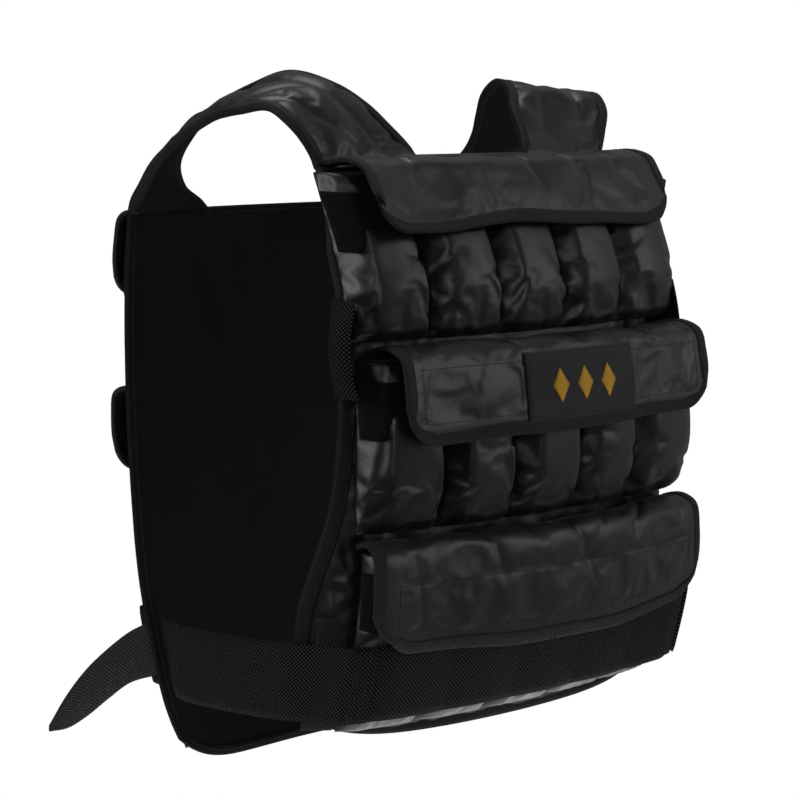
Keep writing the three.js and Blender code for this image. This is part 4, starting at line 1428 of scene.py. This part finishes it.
    def bind(self, run_length: float) -> None:
        """Makes the tape folded round the free edges, with its stitches."""
        mid = -FLAP_THICK / 2
        path = self.edge_path(0.0, run_length, mid)
        within = self.edge_path(self.tape_width * 0.8, run_length, mid)
        above = self.edge_path(0.0, run_length, mid + 2 * MM)
        normal = unit(above - path)
        inward = unit(within - path)
        section = bind_section(self.tape_width, FLAP_THICK / 2 + 0.9 * MM, 0.8 * MM)
        tape = sweep("edge_" + self.name, path, inward, normal, section, WARDROBE.of(BINDING))
        settle_piece(tape, "webbing")
        line = path + inward * (self.tape_width - 1.8 * MM) + normal * (FLAP_THICK / 2 + 1.0 * MM)
        SEAMS.add(f"stitches_flaps_{self.panel.label}", line)


class LoopTapes:
    """Bands of loop pile across the pockets' mouths, wrapped round the end pockets' flanks."""

    def build(self, panel: Panel) -> None:
        """Makes a panel's bands.

        Args:
            panel: the panel that carries them.
        """
        for row, line in enumerate(panel.rows):
            top = panel.row_foot(row) + POCKET_HEIGHT * line.tall - TAPE_DROP
            half = BLOCK_HALF - 5 * MM
            way = np.linspace(-1.06, 1.06, 120)
            bend = np.clip((np.abs(way) - 0.94) / 0.12, 0, 1)
            reach = np.minimum(np.abs(way), 0.94 + 0.06 * np.sin(bend * QUARTER_TURN))
            x, v = np.meshgrid(np.sign(way) * half * reach, np.linspace(0, 1, 14))
            round_end = 1 - 0.9 * (1 - np.cos(bend * QUARTER_TURN))
            depth = (POCKET_SEAT + POCKET_DEPTH + GAP) * round_end * panel.flatter(x)
            near_end = ease((-way - 0.93) / 0.06)
            shown = TAPE_SHOWN + (TAPE_END_SHOWN - TAPE_SHOWN) * near_end
            z = top - shown * (1 - v)
            outer = panel.off(x + np.sign(x) * bend * TAPE_THICK, z, depth + TAPE_THICK)
            inner = panel.off(x - np.sign(x) * bend * 0.2 * MM, z, depth)
            name = f"loop_tape_{panel.label}_{row + 1}"
            piece = shell("pile_" + name, outer, inner, [WARDROBE.of(LOOP_TAPE)])
            settle_piece(piece, "loop_tape", name)


@dataclass
class LabelMaker:
    """The label patch, with a plain row of lozenges sewn in gold thread."""

    flap: FlapMaker
    lozenges: int = 3
    spacing: float = 27 * MM
    half_wide: float = 9 * MM
    half_tall: float = 13 * MM
    strands: int = 30

    def at(self, x: np.ndarray, up: np.ndarray, lift: float) -> np.ndarray:
        """Points on the label by place across and height over its middle."""
        middle = (LABEL_RUN[0] + LABEL_RUN[1]) / 2
        length = FLAP_LENGTH * self.flap.panel.rows[self.flap.row].lip / 0.62
        return self.flap.at(LABEL_ACROSS + x, middle - up / length * 1.0, GAP + LABEL_THICK + lift)

    def build(self) -> None:
        """Makes the patch, its border stitches and its motif."""
        x, run = np.meshgrid(np.linspace(-LABEL_WIDTH / 2, LABEL_WIDTH / 2, 50), np.linspace(*LABEL_RUN, 26))
        edge = np.minimum(LABEL_WIDTH / 2 - np.abs(x), (0.5 - np.abs((run - 0.68) / 0.48)) * 60 * MM)
        puff = 0.5 * MM * ease(edge / (6 * MM))
        waves = ripple(self.flap.at(x, run, 0.0), 30 * MM, 9.0) * 0.5 * MM
        outer = self.flap.at(LABEL_ACROSS + x, run, GAP + LABEL_THICK + puff + waves * ease(edge / (8 * MM)))
        inner = self.flap.at(LABEL_ACROSS + x, run, GAP)
        piece = shell("cloth_label_patch", outer, inner, [WARDROBE.of(LABEL_CLOTH)])
        settle_piece(piece, "label", "label_patch")
        inset = 2.5 * MM
        half, low, high = LABEL_WIDTH / 2 - inset, LABEL_RUN[0] + 0.02, LABEL_RUN[1] - 0.02
        loop = [(-half, low), (half, low), (half, high), (-half, high), (-half, low)]
        share = np.linspace(0, 1, 50)
        for (ax, ar), (bx, br) in zip(loop, loop[1:]):
            along = LABEL_ACROSS + ax + (bx - ax) * share
            line = self.flap.at(along, ar + (br - ar) * share, GAP + LABEL_THICK + 0.35 * MM)
            SEAMS.add("stitches_label", line)
        self.embroider()

    def embroider(self) -> None:
        """Lays the motif's satin stitches side by side."""
        points: list[np.ndarray] = []
        faces: list[np.ndarray] = []
        uv: list[np.ndarray] = []
        sides, steps = 6, 8
        for k in range(self.lozenges):
            middle = (k - (self.lozenges - 1) / 2) * self.spacing
            for s in range(self.strands):
                up = (2 * (s + 0.5) / self.strands - 1) * self.half_tall
                reach = self.half_wide * (1 - abs(up) / self.half_tall) + 0.4 * MM
                share = np.linspace(-1, 1, steps)
                arch = 0.9 * MM * (1 - share**2) ** 0.5 * min(1, reach / (4 * MM)) + 0.3 * MM
                x = middle + share * reach
                high, centre = np.array(up), np.array(middle)
                core = np.array([self.at(np.array(a), high, float(b) + 0.5 * MM) for a, b in zip(x, arch)])
                over = self.at(centre, high, 5 * MM) - self.at(centre, high, 0)
                normal = unit(over)
                across = unit(core[-1] - core[0])
                height = unit(np.cross(normal, across))
                radius = 0.48 * self.half_tall * 2 / self.strands * np.sqrt(np.clip(1 - share**4, 0.05, 1))
                angle = np.linspace(0, math.tau, sides, endpoint=False)
                ring = np.cos(angle)[None, :, None] * height + np.sin(angle)[None, :, None] * normal
                body = core[:, None] + ring * radius[:, None, None]
                start = sum(len(p) for p in points)
                points.append(body.reshape(-1, 3))
                j, i = np.meshgrid(np.arange(steps - 1), np.arange(sides), indexing="ij")
                a, b = j * sides + i, j * sides + (i + 1) % sides
                faces.append(start + np.stack([a, b, b + sides, a + sides], -1).reshape(-1, 4))
                cap = np.array([[0, 5, 4, 3], [0, 3, 2, 1]])
                faces.append(start + cap)
                faces.append(start + (steps - 1) * sides + cap[:, ::-1])
                uv.append(np.stack([body[..., 0], body[..., 2]], -1).reshape(-1, 2))
        piece = make_mesh(
            "label_motif", np.concatenate(points), np.concatenate(faces), np.concatenate(uv),
            [WARDROBE.of(GOLD_THREAD)],
        )
        settle_piece(piece, "label")


def spline(points: np.ndarray, count: int) -> np.ndarray:
    """Even points along a smooth curve through the given points."""
    chord = np.concatenate([[0], np.cumsum(np.linalg.norm(np.diff(points, axis=0), axis=1) ** 0.5)])
    curve = Table("t " + " ".join(f"c{k}" for k in range(points.shape[1])), *np.column_stack([chord, points]))
    fine = np.linspace(0, chord[-1], 600)
    line = np.stack([curve.at(f"c{k}", fine) for k in range(points.shape[1])], -1)
    far = np.concatenate([[0], np.cumsum(np.linalg.norm(np.diff(line, axis=0), axis=1))])
    even = np.linspace(0, far[-1], count)
    return np.stack([np.interp(even, far, line[:, k]) for k in range(points.shape[1])], -1)


@dataclass
class WaistBelt:
    """The webbing belt: front and back runs, side runs, and the free end."""

    end: float = 1.03
    dip_start: float = 0.9
    back_end: float = 1.0
    lap_start: float = 0.965
    lap_end: float = 1.0
    end_dip: float = 0.84
    rows: int = 12

    def height(self, y: np.ndarray | float) -> np.ndarray:
        """Height of the belt's middle at a place from front to back."""
        return BELT_LEVEL - BELT_PITCH_DOWN * y

    def point(self, panel: Panel, across: float, width: float, away: float) -> np.ndarray:
        """Place in plan off a panel, at a share of the block's half width."""
        level = self.height(panel.facing * panel.reach) + (width - 0.5) * BELT_WIDTH
        return panel.off(across * BLOCK_HALF, level, away)[:2]

    def lap_part(self, across: float) -> float:
        """Share of the belt's distance off the panel where it dips at the block's corners."""
        return 1 - (1 - self.end_dip) * (across - self.dip_start) / (self.end - self.dip_start)

    def ribbon(
        self, name: str, paths: Callable[[float], np.ndarray], columns: int, swell: float = 0.0,
        stitched: Sequence[float] = (),
    ) -> None:
        """Makes one run of webbing.

        Args:
            name: node's name.
            paths: plan of the run's middle, by share of the belt's width.
            columns: steps along the run.
            swell: how far the belt is pressed out over each pocket.
            stitched: shares of the run where a line of stitches crosses it.
        """
        widths = np.linspace(0, 1, self.rows + 1)
        plans = np.array([spline(paths(float(w)), columns + 1) for w in widths])
        tangent = unit(np.gradient(plans, axis=1))
        normal = np.stack([tangent[..., 1], -tangent[..., 0]], -1)
        outward = np.sign((normal * plans).sum())
        normal = normal * outward
        over = np.abs(np.cos(math.pi * plans[..., 0] / POCKET_PITCH)) ** 0.6 - 0.6
        z = self.height(plans[..., 1]) + (widths[:, None] - 0.5) * BELT_WIDTH
        base = np.concatenate([plans, z[..., None]], -1)
        rough = ripple(base, 60 * MM, 2.0) * 0.8 * MM
        lift = swell * over + rough
        steps = np.arange(columns + 1)
        for share in stitched:
            lift = lift - 0.9 * MM * np.exp(-((steps - round(share * columns)) ** 2) / 1.6)
        pinch = 1 - 0.55 * (np.abs(2 * widths[:, None] - 1) > 0.97)
        half = BELT_THICK / 2 * pinch
        flat = np.concatenate([normal, np.zeros_like(normal[..., :1])], -1)
        outer = base + flat * (lift + half)[..., None]
        inner = base + flat * (lift - half)[..., None]
        piece = shell("web_" + name, outer, inner, [WARDROBE.of(WEBBING)])
        for share in stitched:
            column = round(share * columns)
            for face, away in ((outer, flat), (inner, -flat)):
                SEAMS.add("stitches_belt", face[:, column] + away[:, column] * 0.2 * MM)
        settle_piece(piece, "webbing", name)

    def build(self) -> None:
        """Makes every run and the free end."""
        middle = [(k / 10 - 1, 1.0) for k in range(21)]
        end = (self.lap_end, self.lap_part(self.lap_end))
        front = [(-end[0], end[1]), *middle[1:-1], end]
        flat = [(a, 0.86) for a, _ in middle[2:-2]]
        corner = [(0.90, 0.80), (0.96, 0.50), (self.back_end, BACK_END_OFF / BACK_BELT_OFF)]
        back = [*[(-a, p) for a, p in reversed(corner)], *flat, *corner]
        self.ribbon("belt_front", self.run(FRONT, FRONT_BELT_OFF, front), 150, 2.2 * MM)
        self.ribbon("belt_back", self.run(BACK, BACK_BELT_OFF, back), 180)
        for label, hand in (("right", -1), ("left", 1)):
            self.ribbon(
                f"belt_side_{label}", lambda width, hand=hand: self.side(width, hand), 130, 0.0,
                (0.025, 0.055, 0.80, 0.83) if hand < 0 else (),
            )
        self.tail()

    def run(
        self, panel: Panel, away: float, shares: list[tuple[float, float]],
    ) -> Callable[[float], np.ndarray]:
        """Plan of a run off a panel."""
        return lambda width: np.array([self.point(panel, a, width, away * part) for a, part in shares])

    def side(self, width: float, hand: int) -> np.ndarray:
        """Plan of a side run: lapped on the front run, past the panel, in behind the back panel."""
        lap_off = BELT_THICK + GAP
        inner = -PANEL_THICK - BELT_SEAT - BELT_THICK / 2
        start = self.lap_start if hand < 0 else 0.5 * (self.lap_end + self.end)
        lap = [
            self.point(FRONT, a, width, FRONT_BELT_OFF * self.lap_part(a) + lap_off)
            for a in (start, 0.5 * (start + self.end), self.end)
        ]
        turn = lap[2][1]
        tuck = self.point(BACK, 1.045, width, inner)
        side = [
            (0.945 * BELT_SIDE_X, 0.82 * turn), (0.99 * BELT_SIDE_X, 0.62 * turn), (BELT_SIDE_X, 0.2 * turn),
            (0.965 * BELT_SIDE_X, 0.45 * tuck[1]),
        ]
        return np.array([*lap, *side, tuck]) * np.array([hand, 1])

    def tail(self) -> None:
        """Makes the free end that hangs off the right back corner."""
        root = self.point(BACK, -self.back_end, 0.5, BACK_END_OFF)
        root = root + np.array([-(1.5 * BELT_THICK + GAP), BELT_THICK])
        reach_out = TAIL_OUT + (1.095 - self.back_end) * BLOCK_HALF
        top = float(self.height(root[1])) + TAIL_ROOT_WIDTH / 2 + 2 * MM
        to, v = np.meshgrid(np.linspace(0, 1, 60), np.linspace(0, 1, 13))

        def upper(share: np.ndarray) -> np.ndarray:
            """Points of the tail's upper edge."""
            return np.stack([
                root[0] - reach_out * TAIL_STATIONS.at("out", share),
                root[1] + TAIL_BACK * TAIL_STATIONS.at("back", share),
                top - TAIL_DROP * TAIL_STATIONS.at("top", share),
            ], -1)

        along = upper(np.minimum(1, to + 0.02)) - upper(np.maximum(0, to - 0.02))
        normal = unit(np.stack([along[..., 1], -along[..., 0], 0 * to], -1))
        edge = upper(to)
        width = TAIL_ROOT_WIDTH * TAIL_STATIONS.at("width", to)
        edge[..., 2] -= width * (1 - v)
        curl = (2.0 * MM * np.sin(math.pi * to) * (2 * v - 1) ** 2)[..., None]
        outer = edge + normal * (BELT_THICK / 2 + curl)
        inner = edge - normal * (BELT_THICK / 2 - curl)
        piece = shell("web_belt_tail", outer, inner, [WARDROBE.of(TAIL_WEBBING)])
        long = length_of(edge[6])
        settle_piece(piece, "webbing", "belt_tail")


class SideTrim:
    """Webbing tabs on the front panel's edges, and keeper strips behind the belt."""

    def build(self) -> None:
        """Makes both tabs and both keepers."""
        for label, hand in (("right", -1), ("left", 1)):
            self.tab(label, hand)
            self.keeper(label, hand)

    def tab(self, label: str, hand: int) -> None:
        """Makes one tab, bulging off the panel's edge."""
        u, v = np.meshgrid(np.linspace(0, 1, 16), np.linspace(0, 1, 40))
        z = TAB_TOP - TAB_HEIGHT * (1 - v)
        share = 1.25 if hand < 0 else 0.35
        bulge = share * TAB_BULGE * np.sin(0.75 * math.pi * u) * (0.45 + 0.55 * np.sin(math.pi * v))
        edge = FRONT.off(FRONT.half_width(z), z, -PANEL_THICK / 2)
        base = edge[..., 0] + 2 * GAP + bulge
        y = edge[..., 1] + 5 * MM - (TAB_WIDTH + 16 * MM) * u
        outer = np.stack([hand * (base + BELT_THICK), y, z], -1)
        inner = np.stack([hand * base, y, z], -1)
        piece = shell(f"web_side_tab_{label}", outer, inner, [WARDROBE.of(WEBBING)], 1)
        settle_piece(piece, "webbing", f"side_tab_{label}")

    def keeper(self, label: str, hand: int) -> None:
        """Makes one keeper strip."""
        level = BELT_LEVEL + BELT_PITCH_DOWN * FRONT.reach + BELT_WIDTH / 2
        x0 = BLOCK_HALF + KEEPER_WIDTH / 2 + 1.5 * MM
        u, v = np.meshgrid(np.linspace(0, 1, 10), np.linspace(0, 1, 36))
        z = level + KEEPER_LENGTH * (v - 0.8)
        x = hand * (x0 + KEEPER_WIDTH * (u - 0.5))
        outer = FRONT.off(x, z, GAP + BELT_THICK / 2)
        inner = FRONT.off(x, z, GAP)
        piece = shell(f"web_belt_keeper_{label}", outer, inner, [WARDROBE.of(BINDING)])
        settle_piece(piece, "webbing", f"belt_keeper_{label}")


@dataclass
class Studio:
    """Camera, soft lights, pale surroundings and floor."""

    focal_pixels: float = 2780.0
    image_pixels: float = 800.0
    sensor: float = 36.0
    place: tuple[float, float, float] = (-1.597, -1.602, 0.035)
    azimuth: float = -45.0
    elevation: float = 7.31
    roll: float = 0.83
    floor_level: float = -0.72
    floor_radius: float = 0.45

    def camera(self) -> None:
        """Sets the camera at the photograph's angle."""
        a, e, r = (math.radians(v) for v in (self.azimuth, self.elevation, self.roll))
        back = Vector((math.sin(a) * math.cos(e), -math.cos(a) * math.cos(e), math.sin(e)))
        right = Vector((math.cos(a), math.sin(a), 0.0))
        up = back.cross(right)
        turned_right = right * math.cos(r) + up * math.sin(r)
        turned_up = up * math.cos(r) - right * math.sin(r)
        data = bpy.data.cameras.new("camera")
        data.sensor_width = self.sensor
        data.lens = self.focal_pixels / self.image_pixels * self.sensor
        data.clip_end = 100.0
        camera = bpy.data.objects.new("camera", data)
        frame = Matrix((turned_right, turned_up, back)).transposed().to_4x4()
        camera.matrix_world = Matrix.Translation(self.place) @ frame
        bpy.context.scene.collection.objects.link(camera)
        bpy.context.scene.camera = camera

    def area(
        self, name: str, place: tuple[float, float, float], size: tuple[float, float], power: float,
    ) -> None:
        """Adds a soft light that faces the vest.

        Args:
            name: light's name.
            place: where it stands.
            size: its width and height.
            power: in watts.
        """
        data = bpy.data.lights.new(name, "AREA")
        data.shape = "RECTANGLE"
        data.size, data.size_y = size
        data.energy = power
        light = bpy.data.objects.new(name, data)
        light.location = place
        aim = Vector((0, 0, -0.27)) - Vector(place)
        light.rotation_euler = aim.to_track_quat("-Z", "Y").to_euler()
        bpy.context.scene.collection.objects.link(light)

    def surroundings(self) -> None:
        """White for the camera, and a soft surround that is brighter to the front and right."""
        world = bpy.data.worlds.new("surround")
        bpy.context.scene.world = world
        world.use_nodes = True
        tree = world.node_tree
        tree.nodes.clear()
        out = tree.nodes.new("ShaderNodeOutputWorld")
        mix = tree.nodes.new("ShaderNodeMixShader")
        path = tree.nodes.new("ShaderNodeLightPath")
        white = tree.nodes.new("ShaderNodeBackground")
        white.inputs["Strength"].default_value = 1.0
        white.inputs["Color"].default_value = (1, 1, 1, 1)
        soft = tree.nodes.new("ShaderNodeBackground")
        place = tree.nodes.new("ShaderNodeTexCoord")
        lean = tree.nodes.new("ShaderNodeVectorMath")
        lean.operation = "DOT_PRODUCT"
        lean.inputs[1].default_value = (0.62, -0.62, 0.48)
        ramp = tree.nodes.new("ShaderNodeMapRange")
        ramp.interpolation_type = "SMOOTHSTEP"
        ramp.inputs["From Min"].default_value = -0.6
        ramp.inputs["From Max"].default_value = 0.9
        ramp.inputs["To Min"].default_value = 0.05
        ramp.inputs["To Max"].default_value = 0.30
        tree.links.new(place.outputs["Generated"], lean.inputs[0])
        tree.links.new(lean.outputs["Value"], ramp.inputs["Value"])
        tree.links.new(ramp.outputs["Result"], soft.inputs["Strength"])
        tree.links.new(path.outputs["Is Camera Ray"], mix.inputs["Fac"])
        tree.links.new(soft.outputs["Background"], mix.inputs[1])
        tree.links.new(white.outputs["Background"], mix.inputs[2])
        tree.links.new(mix.outputs["Shader"], out.inputs["Surface"])

    def floor(self) -> None:
        """A plain pale floor."""
        turn = np.linspace(0, math.tau, 64, endpoint=False)
        rim = np.stack([np.cos(turn), np.sin(turn)], -1) * self.floor_radius
        points = np.column_stack([rim, np.full(64, self.floor_level)])
        mesh = bpy.data.meshes.new("floor")
        mesh.from_pydata(points.tolist(), [], [tuple(range(64))])
        material = bpy.data.materials.new("pale_floor")
        material.use_nodes = True
        shader = material.node_tree.nodes["Principled BSDF"]
        shader.inputs["Base Color"].default_value = (0.8, 0.8, 0.8, 1.0)
        shader.inputs["Roughness"].default_value = 0.9
        shader.inputs["Emission Color"].default_value = (1.0, 1.0, 1.0, 1.0)
        shader.inputs["Emission Strength"].default_value = 1.0
        mesh.materials.append(material)
        floor = bpy.data.objects.new("floor", mesh)
        bpy.context.scene.collection.objects.link(floor)

    def build(self) -> None:
        """Sets up everything round the vest."""
        self.camera()
        self.surroundings()
        self.area("front_right_box", (1.6, -1.8, 0.55), (1.3, 1.7), 8)
        self.area("overhead_box", (0.2, 0.3, 1.6), (1.0, 1.0), 10)
        self.area("camera_box", (-1.75, -1.45, 0.45), (0.45, 0.9), 6)
        self.area("left_strip", (-1.9, 0.45, 0.25), (0.5, 1.5), 14)
        self.floor()
        scene = bpy.context.scene
        scene.view_settings.view_transform = "Standard"
        scene.view_settings.look = "None"


FRONT_FLAP_FOLDS = (
    (
        (0.34, 0.10, 0.46, 0.48, 2.8 * MM, 0.028), (0.46, 0.48, 0.46, 0.98, 2.4 * MM, 0.028),
        (-0.62, 0.12, -0.55, 0.50, 1.2 * MM, 0.04), (0.10, 0.10, 0.14, 0.60, 1.2 * MM, 0.04),
        (-0.25, 0.15, -0.20, 0.90, 0.9 * MM, 0.05), (0.78, 0.20, 0.70, 0.60, 1.4 * MM, 0.04),
    ),
    ((-0.30, 0.10, -0.22, 0.38, 1.5 * MM, 0.05), (0.60, 0.12, 0.66, 0.42, 1.5 * MM, 0.05)),
    (
        (0.05, 0.20, 0.16, 0.60, 2.6 * MM, 0.035), (0.16, 0.60, 0.26, 0.80, 1.6 * MM, 0.030),
        (0.34, 0.25, 0.18, 0.60, 2.2 * MM, 0.035), (-0.45, 0.20, -0.36, 0.60, 2.2 * MM, 0.035),
        (0.70, 0.15, 0.50, 0.45, 2.4 * MM, 0.035), (-0.20, 0.15, -0.12, 0.42, 2.0 * MM, 0.030),
        (-0.84, 0.45, -0.80, 0.85, 1.6 * MM, 0.030),
    ),
)
FRONT_FLAP_SAGS = (
    Table(
        "across down",
        (-1.0, 0.0), (-0.6, 0.6), (-0.35, -1.5), (0.0, -3.8), (0.33, -0.4), (0.67, 2.2), (1.0, 0.0),
    ),
    Table("across down", (-1.0, 0.0), (-0.6, 0.9), (0.0, 0.0), (0.33, 1.0), (0.6, -2.6), (1.0, 0.0)),
    Table("across down", (-1.0, 0.0), (-0.5, 7.0), (0.0, 12.0), (0.35, 12.0), (0.65, 8.5), (1.0, 2.0)),
)
FRONT_FLAP_BOXES = (
    (),
    ((-0.80, -0.24, 0.50, 0.86), (0.475, 0.94, 0.50, 0.86)),
    ((-0.93, 0.94, 0.60, 0.88),),
)
BACK_STITCH_INSET = 0.07


RIGHT_STRAP_FOLDS = (
    (0.030, 0.020, 0.030, 0.175, 3.0 * MM, 6 * MM),
    (0.085, 0.205, 0.040, 0.150, 3.2 * MM, 5 * MM),
    (0.088, 0.165, 0.045, 0.100, 3.0 * MM, 5 * MM),
    (0.085, 0.115, 0.055, 0.050, 2.4 * MM, 4 * MM),
    (0.060, 0.250, 0.050, 0.190, 2.4 * MM, 4 * MM),
    (0.050, 0.020, 0.070, 0.070, 3.0 * MM, 4 * MM),
)
LEFT_STRAP_FOLDS = (
    (0.030, 0.030, 0.035, 0.160, 2.4 * MM, 6 * MM),
    (0.070, 0.040, 0.060, 0.150, 2.4 * MM, 5 * MM),
    (0.055, 0.120, 0.020, 0.175, 2.0 * MM, 4 * MM),
)


def main() -> None:
    """Builds the vest round the frame."""
    logging.basicConfig(level=logging.INFO, format="%(message)s")
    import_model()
    Studio().build()
    PanelMaker(FRONT).build()
    PanelMaker(BACK, columns=70, rows=76, edge_half=2.6 * MM).build()
    StrapMaker(RIGHT_STRAP, RIGHT_STRAP_FOLDS).build()
    StrapMaker(LEFT_STRAP, LEFT_STRAP_FOLDS).build()
    for panel in (FRONT, BACK):
        PocketBlock(panel).build()
        LoopTapes().build(panel)
        for row in range(len(panel.rows)):
            if panel is FRONT:
                folds, boxes = FRONT_FLAP_FOLDS[row], FRONT_FLAP_BOXES[row]
                flap = FlapMaker(panel, row, folds, boxes, row == 1, FRONT_FLAP_SAGS[row])
            else:
                sewn = panel.rows[row].left_end - BACK_STITCH_INSET
                flap = FlapMaker(panel, row, (), ((-sewn, sewn, 0.48, 0.86),))
            flap.build()
            if panel is FRONT and row == 1:
                LabelMaker(flap).build()
    WaistBelt().build()
    SideTrim().build()
    SEAMS.sew()
    bpy.context.view_layer.update()


if __name__ == "__main__":
    main()
